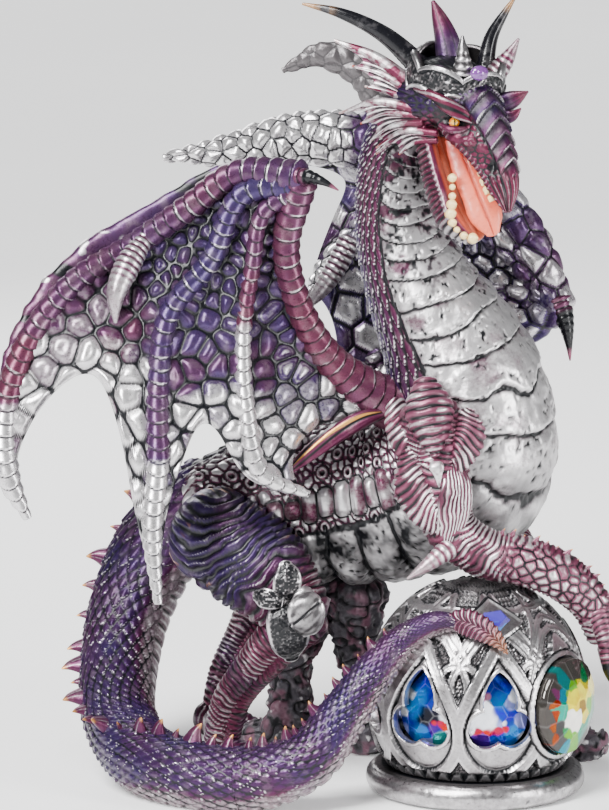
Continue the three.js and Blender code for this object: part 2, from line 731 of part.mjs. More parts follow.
const headWhole = (grow = 0) =>
  join(
    limb(HEAD, { sides: 10, steps: 9, grow }),
    limb(CHEEK_FRILL, { sides: 7, steps: 4, grow, flat: DEPTH, keep: 0.5 }),
    limb(JAW_FRILL, { sides: 7, steps: 4, grow, flat: DEPTH, keep: 0.5 }),
  );

// A band like a diadem round the brow, with a low spike in front.
function crownBand() {
  const rim = turned(
    [[11.5, -4], [15.4, -4], [15.9, 1], [14.6, 4], [9.5, 4], [11.5, -4]],
    20,
  );
  const spike = limb(CROWN_SPIKE, { sides: 7, steps: 3 });
  return join(rim, spike).rotate([14, 8, 0]).translate([-7, 4, 253]);
}

const horns = (grow = 0) =>
  [LEFT_HORN, RIGHT_HORN, CREST_HORN].map((points) => limb(points, { sides: 8, steps: 5, grow }));

const CROWN_GEM = { x: 2.2, y: -10.6, z: 251.6, radius: 3.4 };
const crownGem = (grow = 0) => {
  const { x, y, z, radius } = CROWN_GEM;
  return ball(x, y, z, radius + grow, [1, 0.8, 0.8]);
};

const NEAR_EYE = { x: -5.4, y: -11.2, z: 241.2, radius: 2.3 };
const FAR_EYE = { x: 9.6, y: 1.4, z: 241.6, radius: 2.3 };
const eye = ({ x, y, z, radius }, grow = 0) => ball(x, y, z, radius + grow);

// ---------------------------------------------------------------- materials

const finish = (color, roughness, metalness) =>
  new THREE.MeshStandardMaterial({ color, roughness, metalness });
const antiqueSilver = finish(0x8d8a8c, 0.38, 0.85);
const purpleScale = finish(0x5a3c8c, 0.4, 0.55);
const roseScale = finish(0xa9567c, 0.42, 0.5);
const blackHorn = finish(0x17181c, 0.25, 0.1);
const darkRock = finish(0x2c2a2f, 0.6, 0.4);
const coralFlesh = finish(0xe27a5c, 0.5, 0);
const blueCrystal = finish(0x2c55c8, 0.05, 0.3);
const rainbowCrystal = finish(0xd8d060, 0.05, 0.3);
const violetGem = finish(0x8a4fb0, 0.1, 0.2);
const amberEye = finish(0xe08a1e, 0.15, 0);
const blackPlastic = finish(0x1c1c1e, 0.5, 0);
const whitePlastic = finish(0xe9e7e0, 0.4, 0);
const boardGreen = finish(0x1f6a3c, 0.5, 0);
const steel = finish(0xb9bbbd, 0.3, 0.9);

// ---------------------------------------------------------------- assembly

const figure = new THREE.Group();

function add(parent, name, manifold, material) {
  const mesh = new THREE.Mesh(geometryOf(manifold), material);
  mesh.name = name;
  parent.add(mesh);
}

const orb = new THREE.Group();
figure.add(orb);
add(orb, "orb_dome", orbDome(), antiqueSilver);
add(orb, "orb_foot_ring", footRing(), antiqueSilver);
for (let bay = 0, number = 1; bay < ORB.bays; bay++) {
  if (bay === ORB.gemBay) continue;
  add(orb, `arch_crystal_${number}`, inBay(archCrystal(), bay), blueCrystal);
  number++;
}
add(orb, "round_gem", roundGem(), rainbowCrystal);
add(orb, "lozenge_gem", lozengeGem(), blueCrystal);

const ledUnit = new THREE.Group();
figure.add(ledUnit);
add(ledUnit, "base_cover", baseCover(), blackPlastic);
add(ledUnit, "battery_door", batteryDoor(), blackPlastic);
add(ledUnit, "door_screw", doorScrew(), steel);
COVER_SCREW.degrees.forEach((degrees, i) =>
  add(ledUnit, `cover_screw_${i + 1}`, coverScrew(degrees), steel),
);
add(ledUnit, "battery_tray", batteryTray(), blackPlastic);
for (let i = 0; i < 3; i++) add(ledUnit, `button_cell_${i + 1}`, buttonCell(i), steel);
add(ledUnit, "contact_spring", contactSpring(), steel);
add(ledUnit, "contact_plate", contactPlate(), steel);
add(ledUnit, "switch_body", switchBody(), steel);
add(ledUnit, "switch_knob", switchKnob(), blackPlastic);
add(ledUnit, "led_board", ledBoard(), boardGreen);
for (let i = 0; i < LED.count; i++) add(ledUnit, `led_${i + 1}`, led(i), whitePlastic);
add(ledUnit, "light_diffuser", diffuser(), whitePlastic);

const dragon = new THREE.Group();
figure.add(dragon);
const body = torsoCasting();
const crownSpace = [crownGem(GAP), ...horns(GAP)];
const eyeSpace = [eye(NEAR_EYE, GAP), eye(FAR_EYE, GAP)];
const jawSpace = limb(JAW, { sides: 10, steps: 6, grow: GAP });
add(dragon, "rock_base", largest(rockBase()), darkRock);
add(dragon, "torso_casting", body, purpleScale);
add(dragon, "near_hind_leg", nearHindLeg(), roseScale);
add(dragon, "far_hind_leg", farHindLeg(), roseScale);
add(dragon, "knee_guard", kneeGuard(), antiqueSilver);
add(dragon, "near_foreleg", nearForeleg(), roseScale);
add(dragon, "far_foreleg", farForeleg(), roseScale);
add(dragon, "near_wing", nearWing(), purpleScale);
add(dragon, "far_wing", farWing(), purpleScale);
add(dragon, "near_wing_pin", wingPin(NEAR_PIN), steel);
add(dragon, "far_wing_pin", wingPin(FAR_PIN), steel);
const legs = [nearHindLeg(GAP), farHindLeg(GAP)];
const [rootEnd, curlEnd] = TAIL_JOINTS;
add(dragon, "tail_root", tailPiece(0, rootEnd, 6, [torso(GAP), ...legs]), purpleScale);
add(dragon, "tail_curl", tailPiece(rootEnd, curlEnd, 10, legs), purpleScale);
add(dragon, "tail_tip", tailPiece(curlEnd, 1, 11, [orbEnvelope()]), roseScale);
const skull = largest(cut(headWhole(), ...crownSpace, ...eyeSpace, jawSpace));
add(dragon, "head_casting", skull, purpleScale);
const finWhole = limb(NAPE_FIN, { sides: 8, steps: 5, flat: DEPTH, keep: 0.4 });
const napeFin = largest(cut(finWhole, torso(GAP), headWhole(GAP), ...crownSpace));
add(dragon, "nape_fin", napeFin, antiqueSilver);
const lowerJaw = largest(cut(limb(JAW, { sides: 10, steps: 6 }), torso(GAP)));
add(dragon, "lower_jaw", lowerJaw, roseScale);
const tongue = largest(cut(limb(TONGUE, { sides: 8, steps: 4 }), headWhole(GAP), jawSpace));
add(dragon, "tongue", tongue, coralFlesh);
add(dragon, "crown_band", largest(cut(crownBand(), headWhole(GAP), ...crownSpace)), antiqueSilver);
add(dragon, "crown_gem", crownGem(), violetGem);
["left_horn", "right_horn", "crest_horn"].forEach((name, i) =>
  add(dragon, name, horns()[i], name === "crest_horn" ? purpleScale : blackHorn),
);
add(dragon, "near_eye", eye(NEAR_EYE), amberEye);
add(dragon, "far_eye", eye(FAR_EYE), amberEye);

export default figure;
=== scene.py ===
"""Looks for a cast-resin dragon that guards a jewelled, lit crystal ball.

Every casting is a set of closed skins: a centre line with a radius, wrapped by
rings of points whose relief (scales, plates, bands, pebbles) and whose paint
(tint, silver dry-brush, dark wash and painted shade, bright tips) come from formulas.
Lengths in this file are millimetres until a mesh is built.
"""

import itertools
import math
from types import SimpleNamespace

import bpy
import numpy as np
from mathutils import Matrix, Vector


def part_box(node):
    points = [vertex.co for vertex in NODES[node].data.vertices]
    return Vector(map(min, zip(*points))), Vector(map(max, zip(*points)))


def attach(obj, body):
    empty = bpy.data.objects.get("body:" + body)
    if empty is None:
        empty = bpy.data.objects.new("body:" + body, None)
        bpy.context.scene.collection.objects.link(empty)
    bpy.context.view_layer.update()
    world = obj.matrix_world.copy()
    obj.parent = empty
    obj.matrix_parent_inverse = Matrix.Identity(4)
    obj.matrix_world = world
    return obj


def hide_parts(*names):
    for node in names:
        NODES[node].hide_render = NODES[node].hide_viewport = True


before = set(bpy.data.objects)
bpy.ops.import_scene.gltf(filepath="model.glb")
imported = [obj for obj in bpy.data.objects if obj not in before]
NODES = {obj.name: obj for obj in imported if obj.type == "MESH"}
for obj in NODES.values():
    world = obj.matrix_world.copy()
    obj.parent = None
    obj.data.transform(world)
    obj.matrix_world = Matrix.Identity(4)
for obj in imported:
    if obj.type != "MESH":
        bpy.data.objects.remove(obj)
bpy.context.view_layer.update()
MM = 0.001
ROOT = "figurine"


# ------------------------------------------------------------------ arithmetic


def unit(vectors):
    """Vectors along the last axis, each made one long."""
    return vectors / np.maximum(np.linalg.norm(vectors, axis=-1, keepdims=True), 1e-9)


def toward(old, new, share):
    """The way from old to new, by a share from 0 to 1."""
    return old + (new - old) * share


def ease(x, low, high):
    """Smooth step from 0 at low to 1 at high; low may be the larger."""
    t = np.clip((x - low) / (high - low), 0, 1)
    return t * t * (3 - 2 * t)


def hashed(whole, seed):
    """Repeatable numbers from 0 to 1 for rows of whole numbers."""
    h = whole[..., 0] * 374761393 + whole[..., 1] * 668265263 + whole[..., 2] * 974634777
    h = (h + seed * 1442695) & 0xFFFFFFFF
    h = ((h ^ (h >> 13)) * 1274126177) & 0xFFFFFFFF
    return ((h ^ (h >> 16)) & 0xFFFFFF) / 0xFFFFFF


def noise(points, size, seed=0):
    """Smooth noise from -1 to 1 with blobs about size mm across."""
    cell = points / size
    base = np.floor(cell).astype(np.int64)
    part = cell - base
    part = part * part * (3 - 2 * part)
    total = 0
    for corner in itertools.product((0, 1), repeat=3):
        weight = np.prod(np.where(np.array(corner), part, 1 - part), axis=-1)
        total = total + weight * hashed(base + np.array(corner), seed)
    return 2 * total - 1


def sample(points, step):
    """A smooth line through rows of x, y, z and any extra columns, evenly spaced."""
    table = np.array(points, float)
    chord = np.linalg.norm(np.diff(table[:, :3], axis=0), axis=1)
    knots = np.concatenate([[0], np.cumsum(chord)])
    slopes = np.gradient(table, knots, axis=0)
    fine = np.linspace(0, knots[-1], max(int(knots[-1] * 4), 16))
    i = np.clip(np.searchsorted(knots, fine) - 1, 0, len(knots) - 2)
    width = (knots[i + 1] - knots[i])[:, None]
    t = (fine - knots[i])[:, None] / width
    line = (
        (2 * t**3 - 3 * t**2 + 1) * table[i]
        + (t**3 - 2 * t**2 + t) * width * slopes[i]
        + (3 * t**2 - 2 * t**3) * table[i + 1]
        + (t**3 - t**2) * width * slopes[i + 1]
    )
    run = np.concatenate([[0], np.cumsum(np.linalg.norm(np.diff(line[:, :3], axis=0), axis=1))])
    even = np.linspace(0, run[-1], max(int(run[-1] / step), 4) + 1)
    return np.stack([np.interp(even, run, column) for column in line.T], axis=1)


# ------------------------------------------------------------------ skins


def skin(points, facing, step=0.7, around=80, ends=(0.7, 0.7), girth=None):
    """Rings round a centre line of x, y, z, radius rows. Angle 0 looks towards
    facing, which is one direction or one for each point."""
    facing = np.broadcast_to(np.array(facing, float), (len(points), 3))
    line = sample(np.hstack([np.array(points, float)[:, :4], facing]), step)
    centre, radius, front = line[:, :3], np.maximum(line[:, 3], 0.15), line[:, 4:7]
    tangent = unit(np.gradient(centre, axis=0))
    run = np.concatenate([[0], np.cumsum(np.linalg.norm(np.diff(centre, axis=0), axis=1))])
    turns = np.radians(np.arange(12, 90, 13))
    head = [
        (centre[0] - tangent[0] * radius[0] * ends[0] * math.sin(a), radius[0] * math.cos(a), -1)
        for a in turns[::-1]
    ]
    foot = [
        (centre[-1] + tangent[-1] * radius[-1] * ends[1] * math.sin(a), radius[-1] * math.cos(a), 1)
        for a in turns
    ]
    before, after = len(head), len(foot)
    centre = np.vstack([[h[0] for h in head], centre, [f[0] for f in foot]])
    nominal = np.concatenate([[radius[0]] * before, radius, [radius[-1]] * after])
    radius = np.concatenate([[h[1] for h in head], radius, [f[1] for f in foot]])
    tangent = np.vstack([[tangent[0]] * before, tangent, [tangent[-1]] * after])
    front = np.vstack([[front[0]] * before, front, [front[-1]] * after])
    start = -nominal[0] * ends[0] * np.sin(turns[::-1])
    stop = run[-1] + nominal[-1] * ends[1] * np.sin(turns)
    run = np.concatenate([start, run, stop])
    side0 = unit(front - tangent * np.sum(front * tangent, axis=1, keepdims=True))
    side90 = np.cross(tangent, side0)
    angle = np.linspace(-math.pi, math.pi, around, endpoint=False)[None, :, None]
    out = np.cos(angle) * side0[:, None] + np.sin(angle) * side90[:, None]
    grid = SimpleNamespace(
        along=run[:, None] + 0 * angle[..., 0],
        share=np.clip(run / run.max(), 0, 1)[:, None] + 0 * angle[..., 0],
        angle=np.degrees(angle[..., 0]) + 0 * run[:, None],
        size=nominal[:, None] + 0 * angle[..., 0],
        out=out,
        tangent=tangent,
        close="poles",
    )
    factor = girth(grid) if girth else 1.0
    grid.points = centre[:, None] + out * (radius[:, None] * factor)[..., None]
    grid.cap = (radius / nominal)[:, None]
    clear_paint(grid)
    return grid


def flatten(narrow):
    """A cross-section that is thinner across angle 0 than across angle 90."""

    def girth(grid):
        a = np.radians(grid.angle)
        return 1 / np.sqrt((np.cos(a) / narrow) ** 2 + np.sin(a) ** 2)

    return girth


def clear_paint(grid):
    """Starts a grid with no relief and no paint."""
    for layer in ("height", "tint", "silver", "wash", "tip"):
        setattr(grid, layer, np.zeros(grid.points.shape[:2]))


def rows(grid, share_of_radius):
    """A row count that grows with length, faster where the tube is thin."""
    pace = 1 / (share_of_radius * np.maximum(grid.size[:, 0], 0.8))
    step = np.diff(grid.along[:, 0], prepend=grid.along[0, 0])
    return np.cumsum(pace * step)[:, None] + 0 * grid.angle


def across(grid, degrees):
    """Distance in degrees from an angle, from -180 to 180."""
    return (grid.angle - degrees + 180) % 360 - 180


def mix(grid, mask, other):
    """Lays another coat (height, tint, silver, wash and painted shade, tip) over the grid where mask is 1."""
    for name, value in other.items():
        setattr(grid, name, toward(getattr(grid, name), value, mask))


def layers_of(coat):
    """The part of a coat that mix() can lay on a grid."""
    return {key: coat[key] for key in ("height", "silver", "wash")}


# ------------------------------------------------------------------ coats


def scale_coat(row, column, lift=1.0, dome=0.5, reach=1.75, point=1.3):
    """Overlapping pointed scales on a lattice of rows and columns."""

    def candidate(k):
        length = (row - k) / reach
        shift = 0.5 * (k % 2)
        side = 2 * (column - shift - np.floor(column - shift + 0.5))
        free = np.clip((length - 0.42) / 0.58, 0, 1)
        return length, side, (1 - free**point) - np.abs(side)

    upper = candidate(np.floor(row) - 1)
    lower = candidate(np.floor(row))
    over = upper[2] > 0
    length = np.where(over, upper[0], lower[0])
    side = np.where(over, upper[1], lower[1])
    edge = np.where(over, upper[2], 1.0)
    keel = 0.25 * np.exp(-((side / 0.22) ** 2))
    height = lift * length + dome * (1 - side**2) * 0.6 + keel * dome
    shade = np.where(over, 0.0, ease(-upper[2], 0.75, 0.0))
    seam = ease(np.abs(side), 0.8, 1.0) * ease(length, 0.6, 0.3)
    return {
        "height": height,
        "silver": ease(edge, 0.28, 0.05) * over,
        "wash": np.maximum(shade, seam) * 0.95,
    }


def plate_coat(row, lift=1.0, rim=0.12):
    """Broad overlapping plates: each rises to a free edge and then drops."""
    part = row - np.floor(row)
    fall = ease(part, 1.0, 1.0 - rim * 0.6)
    height = lift * (0.15 + 0.85 * part**1.3) * fall
    return {
        "height": height,
        "silver": ease(part, 1 - 2.4 * rim, 1 - 1.2 * rim) * ease(part, 1, 1 - rim * 0.5),
        "wash": np.maximum(ease(part, 0.16, 0.0), ease(part, 1 - rim * 0.5, 1.0)) * 0.95,
    }


def band_coat(row, lift=0.8, crease=0.16):
    """Rounded bands with a dark crease between them."""
    part = row - np.floor(row)
    edge = np.minimum(part, 1 - part)
    round_top = 1 - (1 - ease(edge, 0, crease * 2.2)) ** 2
    return {
        "height": lift * round_top,
        "silver": ease(edge, crease, crease * 1.8) * ease(edge, crease * 3.0, crease * 1.9),
        "wash": ease(edge, crease, 0.0),
    }


def seeds(low, high, spacing, tries, seed):
    """Scattered points no closer than spacing(x, y) to each other."""
    random = np.random.default_rng(seed)
    kept = np.zeros((0, 2))
    for spot in random.uniform(low, high, (tries, 2)):
        if not len(kept) or np.min(np.linalg.norm(kept - spot, axis=1)) > spacing(*spot):
            kept = np.vstack([kept, spot])
    return kept


def pebbles(x, y, spots, round_off=0.0):
    """Distance to the nearest border between cells, and the cell's number."""
    flat = np.stack([x.ravel(), y.ravel()], axis=1)
    border = np.zeros(len(flat))
    number = np.zeros(len(flat), int)
    block = 12000
    for start in range(0, len(flat), block):
        part = flat[start : start + block]
        square = ((part[:, None] - spots[None]) ** 2).sum(-1)
        order = np.argpartition(square, 3, axis=1)[:, :4]
        near = np.take_along_axis(square, order, axis=1)
        first = order[np.arange(len(part)), near.argmin(axis=1)]
        closest = near.min(axis=1)
        gap = np.linalg.norm(spots[order] - spots[first][:, None], axis=2)
        bisector = (near - closest[:, None]) / np.maximum(2 * gap, 1e-6)
        bisector[gap < 1e-6] = 1e9
        nearest = bisector.min(axis=1)
        if round_off:
            others = np.exp((nearest[:, None] - bisector) / round_off).sum(axis=1)
            nearest = np.maximum(nearest - round_off * np.log(others), 0)
        border[start : start + block] = nearest
        number[start : start + block] = first
    return border.reshape(x.shape), number.reshape(x.shape)


def pebble_coat(x, y, spots, lift=1.0, crease=0.75, bright_top=False, round_off=0.0):
    """Rounded cobbles, one for each spot, with dark creases between them."""
    border, number = pebbles(x, y, spots, round_off)
    shade = hashed(np.stack([number, number * 7, number * 13], axis=-1), 5)
    height = lift * (1 - np.exp(-((border / 1.5) ** 1.5))) - 0.25 * lift * ease(border, 2.5, 5.5)
    rim = ease(border, crease, crease * 1.7) * ease(border, crease * 3.2, crease * 2.0)
    top = ease(border, crease * 1.2, crease * 2.6) * (0.35 + 0.65 * shade)
    return {
        "height": height,
        "silver": top if bright_top else rim * (0.45 + 0.55 * shade),
        "wash": ease(border, crease * 1.15, crease * 0.5),
        "cell": shade,
        "border": border,
    }


def crater_coat(x, y, spots, radius=1.7, lift=0.8):
    """Little rings with a pit, one on each spot, on a field of small bumps."""
    flat = np.stack([x.ravel(), y.ravel()], axis=1)
    near = np.sqrt(((flat[:, None] - spots[None]) ** 2).sum(-1).min(axis=1)).reshape(x.shape)
    ring = np.exp(-(((near - radius * 0.72) / (radius * 0.28)) ** 2))
    return {
        "height": lift * ring - 0.5 * lift * ease(near, radius * 0.55, 0),
        "silver": ring * 0.7,
        "wash": np.maximum(
            ease(near, radius * 0.5, radius * 0.3),
            ease(near, radius * 1.0, radius * 1.15) * ease(near, radius * 1.6, radius * 1.35),
        ),
        "near": near,
    }


# ------------------------------------------------------------------ meshes


def surface(grid):
    """The grid's points with its relief added."""
    return grid.points + grid.out * (grid.height * grid.cap)[..., None]


# The lowest any skin may reach, in mm: clear of the floor at 0, so the two don't flicker.
TABLE = 0.05


def build(name, grids, nodes, material, slot, body=ROOT):
    """One object from closed grids. Each grid is rings of points: its ends meet at
    poles, or, for a thin web, its front row is zipped to its back row."""
    points, paint, quads, triangles = [], [], [], []
    base = 0
    for grid in grids:
        places = surface(grid)
        count, ring = places.shape[:2]
        places[..., 2] = np.maximum(places[..., 2], TABLE)
        points.append(places.reshape(-1, 3))
        layers = np.stack([grid.tint, grid.silver, grid.wash, grid.tip], axis=-1)
        paint.append(np.clip(layers, 0, 1).reshape(-1, 4))
        i = np.arange(count - 1)[:, None] * ring
        j = np.arange(ring)[None]
        k = (j + 1) % ring
        quads.append(base + np.stack([i + j, i + k, i + ring + k, i + ring + j], -1).reshape(-1, 4))
        last = (count - 1) * ring
        if grid.close == "ring":
            quads.append(base + np.stack([last + j[0], last + k[0], k[0], j[0]], -1))
            base += count * ring
        elif grid.close == "poles":
            for row, order in ((0, (0, 2, 1)), (last, (0, 1, 2))):
                pole = base + count * ring + (1 if row else 0)
                fan = np.stack([np.full(ring, pole), base + row + j[0], base + row + k[0]], -1)
                triangles.append(fan[:, order])
                at = 0 if row == 0 else -1
                points.append(places[at].mean(axis=0)[None])
                paint.append(np.clip(layers[at], 0, 1).mean(axis=0)[None])
            base += count * ring + 2
        else:
            half = ring // 2
            a = np.arange(half - 1)
            b = ring - 1 - a
            quads.append(base + np.stack([a, b, b - 1, a + 1], -1))
            quads.append(base + last + np.stack([a + 1, b - 1, b, a], -1))
            base += count * ring
    points = np.concatenate(points) * MM
    paint = np.concatenate(paint)
    quads = np.concatenate(quads)
    triangles = np.concatenate(triangles) if triangles else np.zeros((0, 3), int)
    mesh = mesh_of(name, points, quads, triangles)
    paint_mesh(mesh, paint)
    mesh.validate()
    return place(name, mesh, nodes, material, slot, body)


def mesh_of(name, points, quads, triangles):
    """A mesh from arrays of points and faces."""
    loops = np.concatenate([quads.ravel(), triangles.ravel()])
    sizes = np.concatenate([np.full(len(quads), 4), np.full(len(triangles), 3)])
    starts = np.concatenate([[0], np.cumsum(sizes)[:-1]])
    mesh = bpy.data.meshes.new(name)
    mesh.vertices.add(len(points))
    mesh.vertices.foreach_set("co", points.astype(np.float32).ravel())
    mesh.loops.add(len(loops))
    mesh.loops.foreach_set("vertex_index", loops.astype(np.int32))
    mesh.polygons.add(len(sizes))
    mesh.polygons.foreach_set("loop_start", starts.astype(np.int32))
    mesh.update(calc_edges=True)
    return mesh


def paint_mesh(mesh, paint):
    """Stores tint, silver, wash and painted shade, and tip for each vertex, and shades the faces smooth."""
    coat = mesh.attributes.new("paint", "FLOAT_COLOR", "POINT")
    coat.data.foreach_set("color", paint.astype(np.float32).ravel())
    mesh.polygons.foreach_set("use_smooth", np.full(len(mesh.polygons), True))


def added(name, data):
    """A new object in the scene."""
    made = bpy.data.objects.new(name, data)
    bpy.context.scene.collection.objects.link(made)
    return made


def place(name, mesh, nodes, material, slot, body=ROOT):
    """Puts a finished mesh in the scene, where it stands for the CAD nodes named."""
    piece = added(name, mesh)
    mesh.materials.clear()
    mesh.materials.append(material)
    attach(piece, body)
    if nodes:
        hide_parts(*nodes)
    return piece


# ------------------------------------------------------------------ materials


class Recipe:
    """A node material that is written one node at a time."""

    def __init__(self, name):
        self.material = bpy.data.materials.new(name)
        self.material.use_nodes = True
        self.nodes = self.material.node_tree.nodes
        self.links = self.material.node_tree.links
        self.shader = self.nodes["Principled BSDF"]

    def node(self, kind, inputs=None, **settings):
        made = self.nodes.new(kind)
        for key, value in settings.items():
            setattr(made, key, value)
        for key, value in (inputs or {}).items():
            self.feed(made.inputs[key], value)
        return made

    def feed(self, socket, value):
        if isinstance(value, bpy.types.NodeSocket):
            self.links.new(value, socket)
        else:
            socket.default_value = value

    def math(self, operation, a, b=0.0, clamp=False):
        made = self.node("ShaderNodeMath", {0: a, 1: b}, operation=operation, use_clamp=clamp)
        return made.outputs[0]

    def blend(self, factor, a, b):
        made = self.node("ShaderNodeMix", data_type="RGBA", blend_type="MIX")
        self.feed(made.inputs[0], factor)
        self.feed(made.inputs[6], a)
        self.feed(made.inputs[7], b)
        return made.outputs[2]

    def place(self):
        return self.node("ShaderNodeTexCoord").outputs["Object"]

    def paint(self):
        """The mesh's paint layers: tint, silver, wash and painted shade, and tip."""
        layers = self.node("ShaderNodeAttribute", attribute_name="paint")
        split = self.node("ShaderNodeSeparateColor", {"Color": layers.outputs["Color"]})
        return split.outputs[0], split.outputs[1], split.outputs[2], layers.outputs["Alpha"]

    def noise(self, scale, detail=3.0, rough=0.55):
        made = self.node(
            "ShaderNodeTexNoise",
            {"Vector": self.place(), "Scale": scale, "Detail": detail, "Roughness": rough},
        )
        return made.outputs["Fac"]

    def ramp(self, value, low, high):
        made = self.node("ShaderNodeMapRange", {"Value": value, "From Min": low, "From Max": high})
        made.clamp = True
        return made.outputs["Result"]

    def bump(self, height, strength, depth, under=None):
        made = self.node("ShaderNodeBump", {"Height": height, "Strength": strength, "Distance": depth})
        if under is not None:
            self.feed(made.inputs["Normal"], under)
        return made.outputs["Normal"]

    def finish(self, **sockets):
        for key, value in sockets.items():
            self.feed(self.shader.inputs[key.replace("_", " ")], value)
        return self.material


# Near black, for the dark wash and for painted shade in the hollows.
INK_AND_SHADE = (0.003, 0.0035, 0.005, 1)
SILVER = (0.70, 0.68, 0.69, 1)


def painted(name, base, second, tip, grain=900.0, metal=0.55, rough=0.34, pits=0.25, bright=SILVER):
    """Pearl paint in two tints over cast resin, dry-brushed with silver, with a
    dark wash and painted shade in the hollows. The mesh's paint layers say how much of each."""
    r = Recipe(name)
    tint, silver, wash, tips = r.paint()
    mottle = r.noise(220.0, 4.0)
    speck = r.noise(grain, 3.0, 0.65)
    tint = r.math("ADD", tint, r.math("MULTIPLY", r.math("SUBTRACT", mottle, 0.5), 0.5), clamp=True)
    colour = r.blend(tint, base, second)
    colour = r.blend(tips, colour, tip)
    lighter = r.math("MULTIPLY", r.ramp(mottle, 0.5, 0.8), 0.10)
    colour = r.blend(lighter, colour, bright)
    broken = r.math("ADD", 0.30, r.math("MULTIPLY", speck, 0.9))
    broken = r.math("ADD", broken, r.math("MULTIPLY", mottle, 0.5))
    brushed = r.ramp(r.math("MULTIPLY", silver, broken), 0.32, 0.80)
    colour = r.blend(brushed, colour, bright)
    stain = r.math("MULTIPLY", r.ramp(speck, 0.60, 0.78), 0.55)
    # Wash and painted shade in the hollows, with random stain, darken the colour towards near black.
    dark = r.math("MAXIMUM", r.ramp(wash, 0.08, 0.72), stain, clamp=True)
    colour = r.blend(dark, colour, INK_AND_SHADE)
    shine = r.math("MULTIPLY", r.math("SUBTRACT", 1.0, dark), metal)
    shine = r.math("ADD", shine, r.math("MULTIPLY", brushed, 0.3), clamp=True)
    roughness = r.math("ADD", r.math("MULTIPLY", speck, 0.22), rough - 0.1)
    coarse = r.bump(r.noise(grain * 0.45, 3.0), pits, 0.0006)
    fine = r.bump(speck, pits * 0.8, 0.0003, coarse)
    return r.finish(
        Base_Color=colour, Metallic=shine, Roughness=roughness, Normal=fine,
        Specular_IOR_Level=0.35,
    )


PURPLE = (0.030, 0.015, 0.070, 1)
ROSE = (0.105, 0.016, 0.044, 1)
PINK = (0.24, 0.075, 0.125, 1)
GOLD = (0.86, 0.42, 0.09, 1)
GREY = (0.33, 0.32, 0.34, 1)

scale_paint = painted("pearl_violet_and_rose", PURPLE, ROSE, GOLD)
wing_paint = painted(
    "pearl_lilac_and_rose", (0.044, 0.028, 0.092, 1), (0.11, 0.026, 0.052, 1), PINK,
    grain=600.0, metal=0.55, rough=0.28, pits=0.15,
)
rose_paint = painted("pearl_rose_and_silver", ROSE, PINK, GOLD)
pewter = painted(
    "antique_pewter", (0.17, 0.155, 0.16, 1), (0.065, 0.060, 0.063, 1), (0.9, 0.9, 0.9, 1),
    metal=0.85, rough=0.30, bright=(0.60, 0.58, 0.59, 1),
)
rock_paint = painted(
    "dark_rock", (0.060, 0.055, 0.065, 1), (0.14, 0.06, 0.09, 1), GREY, metal=0.3, rough=0.45, pits=0.7,
)
horn_paint = painted(
    "black_horn", (0.005, 0.005, 0.007, 1), (0.03, 0.02, 0.03, 1), (0.55, 0.28, 0.10, 1),
    metal=0.1, rough=0.18, pits=0.05,
)

# ------------------------------------------------------------------ torso and neck

# Centre line of the body and neck, tail end first: x, y, z, radius.
TORSO = [
    (-97, 48, 90, 19), (-77, 48, 95, 24), (-52, 46, 98, 28), (-27, 40, 102, 29.5),
    (-4, 29, 115, 30), (-2, 26, 137, 27.5), (-9, 25, 157, 24), (-19, 24, 176, 19),
    (-26, 24, 194, 15.5), (-29, 22, 212, 13), (-28, 18, 229, 11.5), (-21, 12, 243, 10),
]
# Where the belly looks at each of those points.
BELLY = [
    (0, -0.3, -1), (0, -0.4, -1), (0.05, -0.5, -0.9), (0.3, -0.65, -0.75),
    (0.75, -0.75, -0.3), (0.75, -0.7, 0), (0.7, -0.7, 0), (0.65, -0.75, 0),
    (0.5, -0.85, 0), (0.35, -0.95, 0), (0.4, -0.9, 0), (0.55, -0.8, -0.3),
]
BODY_LENGTH = 105  # along the centre line from the rump to the chest


def torso():
    """The body and neck: a scaly back, pimply flanks and belly plates."""
    grid = skin(TORSO, BELLY, step=0.62, around=260, ends=(0.5, 0.3))
    upward = ease(grid.along, BODY_LENGTH - 15, BODY_LENGTH + 25)
    mix(grid, 1.0, scale_coat(-rows(grid, 0.30), (grid.angle + 180) / 360 * 34, lift=1.1, dome=0.7))
    grid.tint = 0.75 - 0.75 * ease(np.abs(grid.angle), 70, 120)
    flank_field(grid, upward)
    flank_plates(grid)
    belly_plates(grid, upward)
    # The back is darker.
    grid.wash = np.maximum(grid.wash, 0.55 * ease(np.abs(grid.angle), 120, 165))
    return grid


def flank_field(grid, upward):
    """A pimply field and its craters along both flanks."""
    along = grid.along
    flank = (1 - upward) * ease(np.abs(across(grid, -95)), 62, 50)
    arc = np.radians(grid.angle) * grid.size
    random = np.random.default_rng(11)
    spots = seeds((-5, -80), (BODY_LENGTH + 25, 80), lambda s, a: 2.4, 3600, 3)
    bumps = pebble_coat(along, arc, spots, lift=1.2, crease=0.34, bright_top=True)
    both_sides = flank + (1 - upward) * ease(np.abs(across(grid, 95)), 62, 50)
    mix(grid, np.clip(both_sides, 0, 1), {
        "height": bumps["height"], "tint": 0.75 + 0.25 * bumps["cell"],
        "silver": 1.25 * bumps["silver"] + 0.12, "wash": 0.8 * bumps["wash"],
    })
    rings = seeds((0, -80), (BODY_LENGTH + 25, 80), lambda s, a: 5.6 + 3 * random.random(), 1400, 8)
    pits = crater_coat(along, arc, rings, radius=2.3, lift=1.4)
    mask = np.clip(both_sides, 0, 1) * ease(pits.pop("near"), 3.3, 2.8)
    mix(grid, mask, {**pits, "tint": 0.9 + 0 * mask})


